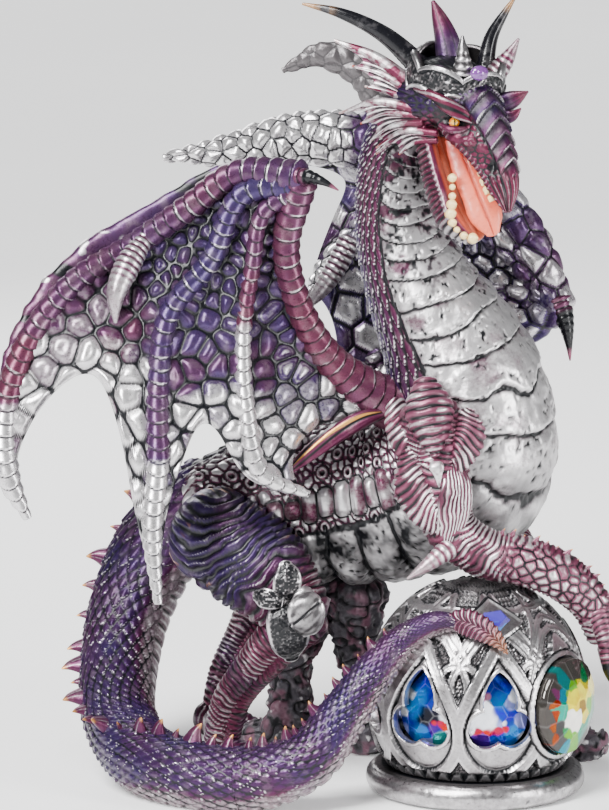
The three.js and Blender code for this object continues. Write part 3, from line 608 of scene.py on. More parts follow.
def flank_plates(grid):
    """One row of tall, rounded, smooth plates along each flank."""
    pitch, half_wide, half_tall, corner = 7.6, 3.5, 7.2, 2.6
    for side in (-66, 66):
        count = grid.along / pitch
        plate = np.floor(count)
        aside = np.abs(count - plate - 0.5) * pitch
        rise = np.radians(across(grid, side)) * grid.size
        tall = half_tall * (0.5 + 0.5 * ease(plate * pitch, 12, 60)) * (0.9 + 0.2 * np.sin(2.7 * plate))
        outside = np.hypot(
            np.maximum(aside - half_wide + corner, 0), np.maximum(np.abs(rise) - tall + corner, 0)
        ) - corner
        along_row = ease(plate, 1.5, 2.5) * ease(plate, 11.5, 10.5)
        hue = hashed(np.stack([plate, plate, plate], -1).astype(int), 4)
        mix(grid, ease(outside, 0.9, 0.5) * along_row, {
            "height": 0.1 + 2.3 * np.sqrt(np.clip(-outside / corner, 0, 1)),
            "tint": 0.9 + 0 * hue,
            "tip": 0.0 * hue,
            "silver": 0.35 + 0.65 * ease(hue + 0.9 * noise(grid.points, 3.4, 2), 0.2, 0.9),
            "wash": ease(outside, -0.35, 0.1),
        })


def belly_plates(grid, upward):
    """Broad plates from the throat to the groin, pillowed, with painted shade under the body."""
    along = grid.along
    half = 44 + 24 * ease(along, 60, 120) - 26 * ease(along, 165, 215)
    frontal = np.abs(across(grid, 0))
    bulge = 1 - (frontal / half) ** 2
    wobble = 0.16 * noise(grid.points, 9, 31) + 0.05 * noise(grid.points, 2.5, 32)
    droop = (0.10 + 0.42 * upward) * (1 - (frontal / half) ** 2)
    count = -rows(grid, 0.50) - droop + wobble
    belly = plate_coat(count, lift=2.6, rim=0.13)
    inside = ease(frontal, half + 1.5, half - 2.5)
    pocks = ease(noise(grid.points, 1.3, 9), 0.34, 0.6)
    dimple = noise(grid.points, 3.2, 34)
    neck = ease(along, 150, 185)
    speckle = 0.6 * noise(grid.points, 1.6, 35) + 0.5 * noise(grid.points, 0.9, 45)
    hollow = ease(0.5 * dimple + speckle, 0.30, -0.65)
    stain = ease(noise(grid.points, 6.5, 36), 0.1, 0.5) * (0.4 + 0.6 * neck)
    shape = np.clip(bulge, 0, 1) ** 0.35
    silvered = 0.42 + 0.50 * upward + 0.35 * noise(grid.points, 7, 4)
    pillow = np.abs(2 * (count - np.floor(count)) - 1)
    lump = 4.2 * (1 - pillow**3) * shape
    belly["height"] = belly["height"] * upward + lump * (1 - upward)
    belly["silver"] = belly["silver"] * upward + 0.25 * (1 - upward)
    belly["wash"] = belly["wash"] * upward + ease(pillow, 0.72, 0.97) * (1 - upward)
    silvered = silvered * (1 - 0.75 * stain) * (1 - 0.5 * neck * hollow)
    silvered = silvered * upward + 0.95 * (1 - upward)
    # Painted shade under the body, blotched by noise.
    blotchy_under_shade = np.clip(0.50 + 0.35 * noise(grid.points, 5, 37) + 0.15 * noise(grid.points, 1.2, 38), 0, 0.8)
    pebbled = 0.22 * noise(grid.points, 1.1, 39) * (1 - upward)
    mix(grid, inside, {
        "height": belly["height"] * shape + 0.8 - 0.45 * pocks + 0.4 * dimple + pebbled,
        "tint": 0.85 + 0 * shape,
        "silver": np.maximum(belly["silver"], silvered * (1 - 0.5 * belly["wash"])),
        "wash": np.maximum.reduce([
            belly["wash"], 0.75 * pocks * ease(dimple, 0.6, 0), blotchy_under_shade * (1 - upward),
            (0.20 + 0.55 * neck) * hollow, 0.38 * neck,
        ]),
    })
    ragged = 1.6 * noise(grid.points, 2.5, 46)
    border = ease(np.abs(frontal - half - 1 + ragged), 3.6, 0.6)
    grid.wash = np.maximum(grid.wash, border * 0.85)


def spikes(line, facing, pitch, tall, first=0.03, last=0.97, sides=12, lean=0.5, wide=1.0):
    """A row of curved, ribbed spikes that stand on a centre line's surface."""
    facing = np.broadcast_to(np.array(facing, float), (len(line), 3))
    path = sample(np.hstack([np.array(line, float)[:, :4], facing]), 0.5)
    tangent = unit(np.gradient(path[:, :3], axis=0))
    length = 0.5 * len(path)
    made = []
    count = max(int((last - first) * length / pitch), 1)
    for n in range(count):
        at = int((first + (last - first) * (n + 0.5) / count) * (len(path) - 1))
        centre, radius = path[at, :3], path[at, 3]
        up = unit(path[at, 4:7] - tangent[at] * np.dot(path[at, 4:7], tangent[at]))
        size = tall * (0.75 + 0.25 * math.sin(2.4 * n)) * (0.55 + 0.45 * radius / np.max(path[:, 3]))
        root = centre + up * radius * 0.72
        rise = [0.0, 0.35, 0.75, 1.0]
        bend = [0.0, 0.08, 0.3, 0.62]
        breadth = [0.62, 0.40, 0.19, 0.03]
        reach = size + radius * 0.28
        spine = [
            (*(root + up * reach * r + tangent[at] * size * lean * b), size * w * wide)
            for r, b, w in zip(rise, bend, breadth)
        ]
        side = np.cross(tangent[at], up)
        spike = skin(spine, side, step=0.45, around=sides, ends=(0.1, 0.6), girth=flatten(0.55))
        share = spike.share
        spike.tint = 0.35 + 0.6 * share
        spike.tip = 0.7 * ease(share, 0.80, 0.98)
        spike.silver = 0.5 * ease(np.cos(np.radians(spike.angle * 5)), 0.3, 1) * (1 - spike.tip)
        # Dark wash and painted shade at the spike's root, where it meets the body.
        spike.wash = 0.7 * ease(share, 0.25, 0.0)
        spike.height = 0.12 * np.cos(np.radians(spike.angle * 6)) * (1 - share)
        made.append(spike)
    return made


# ------------------------------------------------------------------ tail

TAIL = [
    (-93, 52, 94, 18), (-112, 56, 80, 16), (-124, 51, 58, 14.5), (-129, 36, 37, 13.5),
    (-128, 14, 21, 12.5), (-119, -8, 13, 12), (-104, -24, 11, 11.5), (-81, -33, 11, 11),
    (-59, -36, 20, 9.5), (-48, -33, 34, 8), (-36, -29.5, 50, 6.4), (-25, -25.5, 61, 4.6),
    (-13, -28, 67, 3.2), (-1, -31, 65, 1),
]
TAIL_RIDGE = [
    (-0.5, 0, 0.85), (-0.9, 0, 0.4), (-1, 0.1, 0.15), (-1, 0, 0.1),
    (-0.9, 0.1, 0.45), (-0.5, 0.3, 0.85), (0, 0.15, 1), (0.0, 0.05, 1),
    (-0.45, 0, 0.9), (-0.75, 0, 0.65), (-0.75, 0, 0.65), (-0.6, 0, 0.8),
    (-0.2, 0, 1), (0, 0, 1),
]
TAIL_JOINTS = (3 / 13, 8 / 13)


def tail_coat(grid, row):
    """Scales on top, worn in places, and smooth bands under the tail."""
    column = (grid.angle + 180) / 360 * 22
    coat = scale_coat(row, column, lift=1.0, dome=0.7)
    worn = ease(noise(grid.points, 2.6, 45), -0.35, 0.45)
    coat["silver"] = coat["silver"] * (0.25 + 0.75 * worn)
    mix(grid, 1.0, coat)
    grid.wash = grid.wash * (0.55 + 0.45 * ease(noise(grid.points, 9, 46), -0.5, 0.3))
    grid.height *= 0.35 + 0.65 * grid.size / 14
    under = ease(np.abs(grid.angle), 100, 128)
    grid.tint = 0.18 + 0.6 * under
    keel = band_coat(row * 0.55, lift=0.9, crease=0.14)
    mix(grid, ease(np.abs(grid.angle), 140, 150), {**keel, "tint": 0.9})
    grid.silver = np.maximum(grid.silver * 0.8, 0.45 * under)
    grid.tint = np.clip(grid.tint + 0.25 * noise(grid.points, 12, 4), 0, 1)


def tail():
    """Three lengths of tail, each with its row of spikes, and the leaf at the end."""
    table = np.array([row + ridge for row, ridge in zip(TAIL, TAIL_RIDGE)])
    line = sample(table, 0.5)
    pace = 0.5 / (0.30 * np.maximum(line[:, 3], 0.8))
    counted = np.cumsum(pace)
    cuts = [0, int(TAIL_JOINTS[0] * len(line)), int(TAIL_JOINTS[1] * len(line)), len(line)]
    names = ("tail_root", "tail_curl", "tail_tip")
    arounds = (170, 160, 120)
    ends = ((0.3, 0.02), (0.02, 0.02), (0.02, 0.6))
    for n, name in enumerate(names):
        part = line[cuts[n] : cuts[n + 1] + 2]
        keep = part[np.linspace(0, len(part) - 1, 24).astype(int)]
        grid = skin(keep[:, :4], keep[:, 4:7], step=0.6, around=arounds[n], ends=ends[n])
        passed = counted[cuts[n] : cuts[n + 1] + 2]
        row = np.interp(grid.share[:, 0], np.linspace(0, 1, len(passed)), passed)
        tail_coat(grid, row[:, None] + 0 * grid.angle)
        tall = (8.2, 8.0, 5.2)[n]
        first, last = ((0.10, 0.98), (0.02, 0.98), (0.02, 0.74))[n]
        ridge = spikes(keep[:, :4], keep[:, 4:7], 8.4 - 1.2 * n, tall, first, last, wide=1.55, lean=0.7)
        extra = [grid] + ridge
        if n == 2:
            extra += tail_leaf()
        build(name + "_skin", extra, [name], scale_paint, "purple_scale")


def tail_leaf():
    """The ribbed leaf that ends the tail."""
    spine = [
        (-12, -29.5, 67.5, 1.2), (-7, -31, 68, 4.2), (0, -33, 66, 4.6), (7, -35, 61, 2.4),
        (10, -36, 57, 0.3),
    ]
    leaf = skin(spine, (0, -1, 0.25), step=0.35, around=64, ends=(0.3, 0.5), girth=flatten(0.28))
    rib = np.cos(2 * math.pi * (leaf.along / 2.0 + np.abs(np.sin(np.radians(leaf.angle))) * 1.1))
    leaf.height = 0.28 * rib
    leaf.tint = np.ones_like(rib)
    leaf.silver = 0.5 * ease(rib, 0.2, 1)
    leaf.wash = 0.75 * ease(rib, -0.3, -1)
    leaf.tip = 0.25 * ease(leaf.share, 0.5, 1)
    return [leaf]


# ------------------------------------------------------------------ wings

NEAR_FINGERS = (
    [(-63, 8, 220, 6), (-85, 10, 221, 4.6), (-103, 8, 209, 4.2), (-121, 4, 197, 4), (-143, -2, 184, 3.8),
     (-160, -10, 162, 3.7), (-167, -16, 138, 3.9), (-166, -20, 118, 3.8), (-159, -22, 103, 0.8)],
    [(-66, 8, 217, 4.2), (-82, 6, 215, 3.6), (-95, 0, 191, 3.3), (-109, -8, 174, 3.3), (-113, -16, 148, 3.4),
     (-113, -22, 123, 3.4), (-115, -26, 100, 3.1), (-113, -30, 74, 0.8)],
    [(-64, 8, 215, 3.6), (-75, 5, 209, 2.6), (-80, 0, 188, 2.3), (-83, -6, 166, 2.3), (-82, -11, 141, 2.5),
     (-76, -13, 117, 2.8), (-60, -14, 110, 0.8)],
    [(-63, 8, 218, 5.6), (-68, 8, 195, 4.4), (-63, 9, 173, 4.4), (-54, 12, 156, 5.4), (-38, 17, 141, 8),
     (-20, 22, 132, 11)],
)
NEAR_SCALLOPS = (0.36, 0.32, 0.16)
FAR_FINGERS = (
    [(31, 58, 166, 6), (19, 62, 194, 6), (-2, 66, 214, 7), (-31, 70, 224, 9), (-63, 72, 226, 9),
     (-92, 72, 221, 5), (-113, 72, 219, 0.8)],
    [(31, 58, 166, 5), (12, 64, 188, 4), (-15, 68, 203, 4), (-35, 68, 197, 4), (-50, 66, 183, 4),
     (-61, 62, 169, 0.8)],
    [(31, 58, 166, 5), (6, 64, 168, 4), (-15, 66, 158, 4), (-33, 62, 146, 4), (-52, 56, 136, 2)],
    [(31, 58, 166, 6), (6, 61, 152, 8), (-18, 52, 136, 10), (-30, 46, 124, 8)],
)
FAR_SCALLOPS = (0.3, 0.06, 0.05)


def web(first, second, scallop, billow, step=0.75, start=0.05):
    """A thin skin between two fingers, with a scalloped outer edge."""
    a, b = sample(first, 0.5)[:, :3], sample(second, 0.5)[:, :3]
    count = int(max(len(a), len(b)) * 0.5 / step)
    width = int(np.max(np.linalg.norm(a[-1] - b[-1])) / step * 0.8) + 24
    v = np.linspace(start, 1, count)[:, None]
    u = np.linspace(0, 1, width)[None, :]
    reach = 0.98 * v * (1 - scallop * 4 * u * (1 - u))

    def on(line):
        places = np.linspace(0, 1, len(line))
        return np.stack([np.interp(reach, places, column) for column in line.T], axis=-1)

    middle = on(a) * (1 - u)[..., None] + on(b) * u[..., None]
    swell = billow * 4 * u * (1 - u) * np.sin(math.pi * np.minimum(v, 0.9))
    middle[..., 1] += swell
    normal = unit(np.cross(np.gradient(middle, axis=1), np.gradient(middle, axis=0)))
    normal = normal * -np.sign(normal[..., 1:2] + 1e-9)
    lip = ease(v, 1.0, 0.975) + 0 * u
    half = 0.35 + 0.75 * lip
    grid = SimpleNamespace(close="zip", cap=1.0)
    front, back = middle + normal * half[..., None], middle - normal * half[..., None]
    grid.points = np.concatenate([front, back[:, ::-1]], axis=1)
    grid.out = np.concatenate([normal, -normal[:, ::-1]], axis=1)
    grid.edge = np.concatenate([1 - v + 0 * u, (1 - v + 0 * u)[:, ::-1]], axis=1)
    grid.side = np.concatenate([0 * u + 0 * v + 1, 0 * u + 0 * v], axis=1)
    clear_paint(grid)
    return grid


def finger(points, facing, pitch=4.6, around=52):
    """A finger bone under overlapping round-ended scales."""
    grid = skin(points, facing, step=0.5, around=around, ends=(0.6, 0.6))
    front = np.cos(np.radians(grid.angle))
    count = grid.along / pitch - 0.62 * front + 0.12 * noise(grid.points, 9, 3)
    coat = plate_coat(count, lift=0.95, rim=0.12)
    coat["silver"] = coat["silver"] * (0.55 + 0.6 * noise(grid.points, 4, 47))
    mix(grid, 1.0, coat)
    # Painted shade on the finger's back, the side turned towards the web.
    grid.wash = np.maximum(grid.wash, 0.6 * ease(front, 0.25, -0.1))
    return grid


def wing_colours(grid, bright, rose):
    """bright and rose are how silver and how pink each place is, from 0 to 1."""
    grid.tint = np.clip(rose, 0, 1)
    grid.silver = np.clip(np.maximum(grid.silver * 0.75, bright), 0, 1) * (1 - 0.6 * grid.wash)


def near_wing():
    """The spread wing in front: cobbled webs between ringed fingers, silver at the tips."""
    random = np.random.default_rng(5)

    def spacing(x, z):
        size = 5.0 + 4.2 * ease(z, 205, 150) + 1.5 * ease(x, -110, -150)
        return size * (0.5 + 0.75 * random.random())

    spots = seeds((-175, 60), (-15, 232), spacing, 9000, 21)
    grids = []
    for n, scallop in enumerate(NEAR_SCALLOPS):
        grid = web(NEAR_FINGERS[n], NEAR_FINGERS[n + 1], scallop, 5, step=0.6)
        x, z = grid.points[..., 0], grid.points[..., 2]
        coat = pebble_coat(x, z, spots, lift=1.9, crease=0.55, round_off=0.55)
        mix(grid, 1.0, layers_of(coat))
        grid.height *= ease(grid.edge, 0.0, 0.04)
        patch = noise(grid.points, 13, 6)
        pale_from = 168 - 20 * ease(x, -126, -110)
        low = ease(z + 7 * patch + 10 * (coat["cell"] - 0.5), pale_from + 6, pale_from - 8)
        mauve = ease(x, -114, -124) * ease(z, 192, 182)
        bright = 0.95 * low * (0.45 + 0.55 * ease(coat["cell"], 0.05, 0.35))
        lilac = ease(coat["cell"], 0.35, 0.9) * ease(coat["border"], 0.8, 2.4)
        bright = np.maximum(bright, (0.30 + 0.3 * ease(z, 180, 150)) * lilac)
        rim = ease(grid.edge, 0.035, 0.012)
        bright = np.maximum(bright, 0.9 * rim * ease(z, 175, 130))
        rose = 0.12 + 0.35 * ease(patch, 0.1, 0.6) + 0.45 * mauve
        bright = np.maximum(bright, 0.45 * mauve * coat["cell"])
        grid.silver = 0.6 * grid.silver
        wing_colours(grid, bright, rose)
        # Painted shade: each cell darkens towards its border, and more so high on the wing.
        hollow = np.maximum(0.5 * ease(z, 190, 208), 0.26) * ease(coat["border"], 2.4, 0.5)
        grid.wash = np.maximum(grid.wash, hollow)
        grids.append(grid)
    silver_from = (142, 122, 168, 60)
    rosy = (0.55, 0.12, 0.6, 0.95)
    for n, points in enumerate(NEAR_FINGERS):
        grid = finger(points, (0.1, -1, 0.1))
        z = grid.points[..., 2] + 7 * noise(grid.points, 10, 8)
        bright = 0.9 * ease(z, silver_from[n] + 10, silver_from[n] - 10)
        blush = 0.45 * ease(np.abs(z - silver_from[n] - 12), 18, 6)
        wing_colours(grid, bright, rosy[n] + blush + 0.3 * noise(grid.points, 20, 5))
        grids.append(grid)
    silver_spur = [(-118, 3, 199, 3.0), (-124, -4, 190, 4.6), (-128, -9, 180, 3.2), (-128, -10, 171, 0.7)]
    grids.append(spur(silver_spur, bright=0.9))
    thumb = [(-63, 4, 221, 3.4), (-58.5, 0, 221, 2.2), (-54, -2, 219.5, 1.3), (-49.5, -3, 217, 0.3)]
    grids.append(spur(thumb, bright=0.05, dark=True))
    grids += leading_edge()
    build("near_wing_skin", grids, ["near_wing"], wing_paint, "purple_scale")
    build("gilded_fold", gilded_fold(), [], scale_paint, "rose_scale")


def leading_edge():
    """The smooth fold of skin outside the first finger."""
    spine = [(-72, 14, 224, 2), (-92, 14, 219, 4.5), (-112, 11, 207, 5), (-132, 7, 195, 6),
             (-150, 0, 181, 5), (-164, -8, 160, 3), (-170, -14, 138, 1.5)]
    grid = skin(spine, (0, -1, 0), step=0.8, around=40, ends=(0.5, 0.5), girth=flatten(0.45))
    veins = noise(grid.points * np.array([1, 1, 2.2]), 7, 12)
    grid.height = 0.8 * veins
    grid.tint = 0.25 + 0.4 * ease(grid.share, 0.2, 0.8)
    grid.silver = 0.7 * ease(veins, 0.35, 0.7)
    grid.wash = 0.8 * ease(veins, -0.1, -0.5)
    return [grid]


def gilded_fold():
    """The fold of skin under the arm of the near wing, with a gilded edge."""
    spine = [
        (-68, 4, 114, 0.8), (-60, 4, 121, 2.6), (-50, 7, 128, 3.6), (-40, 9, 133, 3.4),
        (-31, 11, 135, 1.2),
    ]
    fold = skin(spine, (0, -1, 0.3), step=0.4, around=64, ends=(0.5, 0.5), girth=flatten(0.7))
    lines = np.cos(np.radians(fold.angle * 4 + fold.along * 6))
    fold.height = 0.3 * lines
    fold.tint = 0.9 + 0 * lines
    fold.silver = 0.25 * ease(lines, 0.4, 1)
    fold.wash = 0.8 * ease(lines, -0.2, -1)
    fold.tip = ease(np.abs(fold.angle + 25), 15, 6) * ease(np.abs(fold.share - 0.5), 0.48, 0.3)
    return [fold]


def spur(points, bright=0.3, dark=False, around=28):
    """A claw or horn with a few rings at its root."""
    grid = skin(points, (0, -1, 0), step=0.4, around=around, ends=(0.4, 0.6))
    ring = np.cos(2 * math.pi * grid.along / 2.4) * ease(grid.share, 0.75, 0.3)
    grid.height = 0.16 * ring
    grid.tint = 0.8 + 0 * ring
    grid.silver = bright * (0.6 + 0.4 * ring)
    grid.wash = (1.0 if dark else 0.6) * ease(ring, -0.5, -1)
    if dark:
        grid.wash = np.maximum(grid.wash, 0.93 * ease(grid.share, 0.1, 0.3) * ease(grid.share, 0.92, 0.7))
        grid.tip = ease(grid.share, 0.6, 0.8)
    return grid


def far_wing():
    """The wing behind the neck: webs of small cobbles between fat cobbled fingers."""

    def spacing(x, z):
        return 5.0 + 5.0 * ease(x, -20, -70) + 1.5 * ease(z, 170, 150)

    spots = seeds((-125, 110), (45, 240), spacing, 8000, 33)
    grids = []
    for n, scallop in enumerate(FAR_SCALLOPS):
        grid = web(FAR_FINGERS[n], FAR_FINGERS[n + 1], scallop, 4, step=0.8)
        x, z = grid.points[..., 0], grid.points[..., 2]
        coat = pebble_coat(x, z, spots, lift=1.9, crease=0.6)
        mix(grid, 1.0, layers_of(coat))
        grid.height *= ease(grid.edge, 0.0, 0.04)
        patch = noise(grid.points, 14, 6)
        bright = 0.8 * ease(x + 10 * patch, -48, -68) * ease(z, 165, 200)
        centre = ease(coat["border"], 0.7, 2.0) * ease(coat["cell"], 0.25, 0.8)
        bright = np.maximum(bright, 0.62 * centre)
        # Every web is lifted by 0.10 of silver: painted light on a wing that the head and neck shade.
        wing_colours(grid, bright + 0.10, 0.05 + 0.35 * ease(patch, 0.2, 0.7))
        grids.append(grid)
    for n, points in enumerate(FAR_FINGERS):
        grid = skin(points, (0, -1, 0), step=0.55, around=100 if n == 0 else 50, ends=(0.6, 0.6))
        x = grid.points[..., 0]
        arc = np.radians(grid.angle) * 0.5 * grid.size + 0.5 * np.radians(grid.angle) * 6
        longest = grid.along.max()
        cobbles = seeds((0, -30), (longest, 30), lambda s, a: 4.0 + 2.5 * (s < 0.6 * longest), 3000, 50 + n)
        coat = pebble_coat(grid.along, arc, cobbles, lift=1.5, crease=0.4, bright_top=True)
        mix(grid, 1.0, layers_of(coat))
        gleam = ease(coat["border"], 0.7, 2.0) * ease(coat["cell"], 0.3, 0.9)
        bright = 0.95 * ease(x, -38, -52) + 0.55 * gleam
        wing_colours(grid, bright, 0.2 + 0.3 * noise(grid.points, 12, 5))
        grids.append(grid)
    dark_spur = [(31, 56, 168, 5.5), (34, 53, 160, 3.0), (35, 52, 153, 1.4), (35.5, 52, 147, 0.3)]
    grids.append(spur(dark_spur, 0.1, dark=True))
    silver_spur = [(-45, 62, 190, 4), (-50, 60, 180, 4), (-57, 58, 170, 2.6), (-64, 57, 163, 0.4)]
    grids.append(spur(silver_spur, 0.95))
    build("far_wing_skin", grids, ["far_wing"], wing_paint, "purple_scale")


# ------------------------------------------------------------------ legs


def sinew(grid, pitch, slant=0.0, lift=0.7, silver=0.75, tint=0.6, crease=0.17, wild=0.7):
    """Muscle strands that run round a limb, slanted, uneven and frayed."""
    warp = wild * (noise(grid.points, 10, 17) + 0.6 * noise(grid.points, 4, 23))
    count = grid.along / pitch + slant * np.sin(np.radians(grid.angle)) + warp
    part = count - np.floor(count)
    edge = np.minimum(part, 1 - part)
    fibre = 0.5 + 0.5 * np.cos(2 * math.pi * (count * 2.7 + 0.9 * noise(grid.points, 5, 41)))
    worn = ease(noise(grid.points, 4.5, 6) + 0.6 * noise(grid.points, 11, 7), -0.55, 0.30)
    depth = np.maximum(crease * (0.8 + 0.8 * noise(grid.points, 4, 29)), 0.05)
    grid.height = grid.height + lift * np.sqrt(ease(edge, 0, 0.45)) + 0.22 * lift * fibre
    gleam = ease(edge, 0.12, 0.36) * (0.25 + 0.75 * worn) * (0.65 + 0.35 * fibre)
    grid.silver = np.clip(silver * gleam, 0, 1)
    shade = 0.6 * (1 - worn) * ease(edge, 0.45, 0.15)
    grid.wash = np.maximum.reduce([grid.wash, ease(edge, depth, 0.02), shade])
    grid.tint = np.clip(tint + 0.6 * noise(grid.points, 7, 19), 0, 1)


def claw(root, reach, size, drop=1.0):
    """A hooked black claw in a short scaly toe."""
    root, reach = np.array(root, float), unit(np.array(reach, float))
    down = np.array([0, 0, -1.0])
    spine = [
        (*(root - reach * size * 0.6), size * 0.34),
        (*(root + reach * size * 0.2 + down * 0.02 * size), size * 0.40),
        (*(root + reach * size * 0.85 + down * 0.22 * size * drop), size * 0.26),
        (*(root + reach * size * 1.25 + down * 0.75 * size * drop), size * 0.06),
    ]
    grid = skin(spine, (0, 0, 1), step=0.35, around=28, ends=(0.5, 0.7))
    nail = ease(grid.share, 0.42, 0.5)
    ring = np.cos(2 * math.pi * grid.along / (0.3 * size))
    grid.height = 0.12 * ring * (1 - nail) - 0.05 * size * nail * ease(grid.share, 0.6, 0.45)
    grid.tint = 0.6 + 0 * nail
    top = ease(np.cos(np.radians(grid.angle)), 0.75, 1)
    grid.silver = (0.55 * ease(ring, 0, 1)) * (1 - nail) + 0.25 * nail * top
    grid.wash = np.maximum(0.8 * ease(ring, -0.2, -1) * (1 - nail), 0.96 * nail * ease(grid.share, 1.05, 0.8))
    return grid


def hind_leg(thigh, shin, foot):
    """Thigh, shin and a three-toed foot with scaly bands."""
    upper = skin(thigh, (0, -1, 0.1), step=0.6, around=130, ends=(0.9, 0.8))
    haunch = np.array(thigh[0][:3], float)
    away = np.linalg.norm(upper.points - haunch - np.array([0, -6, 14]), axis=-1)
    count = away / 3.3 + 0.9 * noise(upper.points, 12, 2) + 0.3 * noise(upper.points, 4, 3)
    ridge = np.abs(2 * (count - np.floor(count)) - 1)
    knee = ease(upper.share, 0.45, 0.8)
    upper.height = 1.5 * ease(ridge, 0.15, 0.85)
    upper.tint = np.clip(0.05 + 0.9 * knee + 0.4 * noise(upper.points, 9, 5), 0, 1)
    threads = ease(noise(upper.points, 7, 8), -0.1, 0.35)
    upper.silver = ease(ridge, 0.60, 0.95) * (0.10 + 0.42 * threads + 0.45 * knee)
    upper.tip = 0.5 * ease(ridge, 0.85, 1) * ease(noise(upper.points, 8, 9), 0.3, 0.6) * (1 - knee)
    upper.wash = np.maximum(ease(ridge, 0.55, 0.1), 0.30 * (1 - knee) * ease(ridge, 0.9, 0.7))
    parts = [upper]
    for aside, radius, pitch, bright, hue in ((-0.42, 0.70, 2.2, 0.62, 0.8), (0.40, 0.62, 2.0, 0.42, 1.0)):
        spine = [(x + aside * r, y - 0.15 * r, z, radius * r) for x, y, z, r in shin]
        strand = skin(spine, (0, -1, 0), step=0.45, around=72, ends=(0.8, 0.7))
        sinew(strand, pitch, slant=0.5, lift=0.7, silver=bright, tint=hue, wild=0.9)
        parts.append(strand)
    pad = skin(foot, (0, -1, 0), step=0.5, around=60, ends=(0.8, 0.8))
    sinew(pad, 2.2, slant=0.2, lift=0.5)
    parts.append(pad)
    x, y, z, radius = foot[-1]
    heel = foot[0]
    for spread in (-1, 0, 1):
        away = np.array([x - heel[0] + spread * 5, y - heel[1] - abs(spread) * 1.5 + spread * 4, 0])
        away = unit(away)
        start = np.array([x, y, 5.0]) + away * 1.5 + np.array([spread * 2.6, spread * 2.0, 0])
        parts.append(claw(start, away, 8.0, drop=0.62))
    return parts


NEAR_THIGH = [(-94, 28, 87, 17), (-77, 14, 77, 17), (-63, 6, 63, 11)]
NEAR_SHIN = [(-63, 7, 60, 10), (-77, 14, 43, 7.5), (-88, 22, 26, 6), (-92, 26, 8, 5.5)]
NEAR_FOOT = [(-94, 30, 6, 6), (-84, 18, 6, 5.5), (-78, 10, 5, 3)]
FAR_THIGH = [(-94, 68, 87, 15), (-84, 76, 74, 15), (-76, 80, 60, 10)]
FAR_SHIN = [(-74, 80, 58, 8.5), (-83, 82, 40, 6), (-91, 82, 24, 5), (-94, 82, 8, 5)]
FAR_FOOT = [(-98, 82, 6, 6), (-88, 76, 6, 5.5), (-80, 72, 5, 3)]


def hind_legs():
    """Both hind legs."""
    near = hind_leg(NEAR_THIGH, NEAR_SHIN, NEAR_FOOT)
    build("near_hind_leg_skin", near, ["near_hind_leg"], scale_paint, "rose_scale")
    far = hind_leg(FAR_THIGH, FAR_SHIN, FAR_FOOT)
    build("far_hind_leg_skin", far, ["far_hind_leg"], scale_paint, "rose_scale")


NEAR_FORELEG = [
    (-17, -1, 136, 11), (-13, -5, 114, 10), (-9, -8, 96, 8.5), (2, -9, 88, 8.2),
    (16, -9, 85, 8.2), (30, -8, 79, 7.8), (41, -6, 68, 6.5), (45, -5, 57, 5),
]
FAR_FORELEG = [(-2, 50, 128, 10), (4, 52, 106, 9), (8, 50, 90, 7.5), (14, 40, 82, 7), (18, 30, 78, 6)]


def forelegs():
    """The near foreleg, which rests on the ball, and the far one behind it."""
    arm = skin(NEAR_FORELEG, [(0, -1, 0.1)] * 2 + [(-0.3, -1, 0)] + [(0, -1, 0.3)] * 3 + [(0.3, -1, 0.3)] * 2,
               step=0.5, around=130, ends=(0.6, 0.5))
    sinew(arm, 2.3, slant=1.1, lift=0.9, silver=1.0, tint=0.4, crease=0.2, wild=0.8)
    top = ease(np.cos(np.radians(across(arm, 25))), 0.1, 0.75) * ease(arm.share, 0.52, 0.6)
    spots = seeds((60, -30), (150, 30), lambda s, a: 2.6, 1500, 5)
    arc = np.radians(arm.angle) * arm.size
    bumps = pebble_coat(arm.along, arc, spots, lift=1.1, crease=0.4, bright_top=True)
    mix(arm, top * ease(arm.share, 0.95, 0.85), {**layers_of(bumps), "tint": 0.85 + 0 * top})
    ridge = spikes(NEAR_FORELEG[3:], (0.2, -0.25, 1), 3.4, 3.4, 0.06, 0.82, sides=10, lean=0.6, wide=1.3)
    parts = [arm] + shoulder() + ridge
    for spread in (-1, 0, 1):
        bones = [
            (43, -5 + 3.5 * spread, 66, 4.2), (45.5, -6 + 5 * spread, 59, 3.4),
            (47, -6 + 6.2 * spread, 52, 2.8),
        ]
        toe = skin(bones, (0.3, -1, 0), step=0.4, around=36, ends=(0.5, 0.5))
        sinew(toe, 1.8, lift=0.4, silver=0.8, tint=0.8)
        parts.append(toe)
        parts.append(claw((47, -6 + 6.2 * spread, 51), (0.15, spread * 0.15, -1), 8.5, drop=0.0))
    elbow_spur = [(-8, -12, 92, 4.5), (-13, -17, 89, 3.4), (-19, -20, 85, 2.2), (-25, -21, 81, 0.4)]
    parts.append(spur(elbow_spur, 0.85))
    build("near_foreleg_skin", parts, ["near_foreleg"], rose_paint, "rose_scale")
    far = skin(FAR_FORELEG, (0, 1, 0), step=0.6, around=90, ends=(0.6, 0.6))
    sinew(far, 2.7, slant=1.0, lift=0.8)
    build("far_foreleg_skin", [far], ["far_foreleg"], rose_paint, "rose_scale")


def strands(grid, wide, tint=0.5):
    """Fine muscle fibres that run along a lobe."""
    count = grid.angle / wide + 0.9 * noise(grid.points, 9, 51) + 0.3 * noise(grid.points, 3, 52)
    ridge = np.abs(2 * (count - np.floor(count)) - 1)
    worn = ease(noise(grid.points * np.array([1, 1, 0.4]), 4, 53), -0.6, 0.2)
    grid.height = 0.55 * ease(ridge, 0.05, 0.8)
    grid.silver = ease(ridge, 0.35, 0.75) * (0.35 + 0.65 * worn)
    grid.wash = np.maximum(ease(ridge, 0.30, 0.02), 0.4 * (1 - worn))
    grid.tint = np.clip(tint + 0.5 * noise(grid.points, 6, 54), 0, 1)


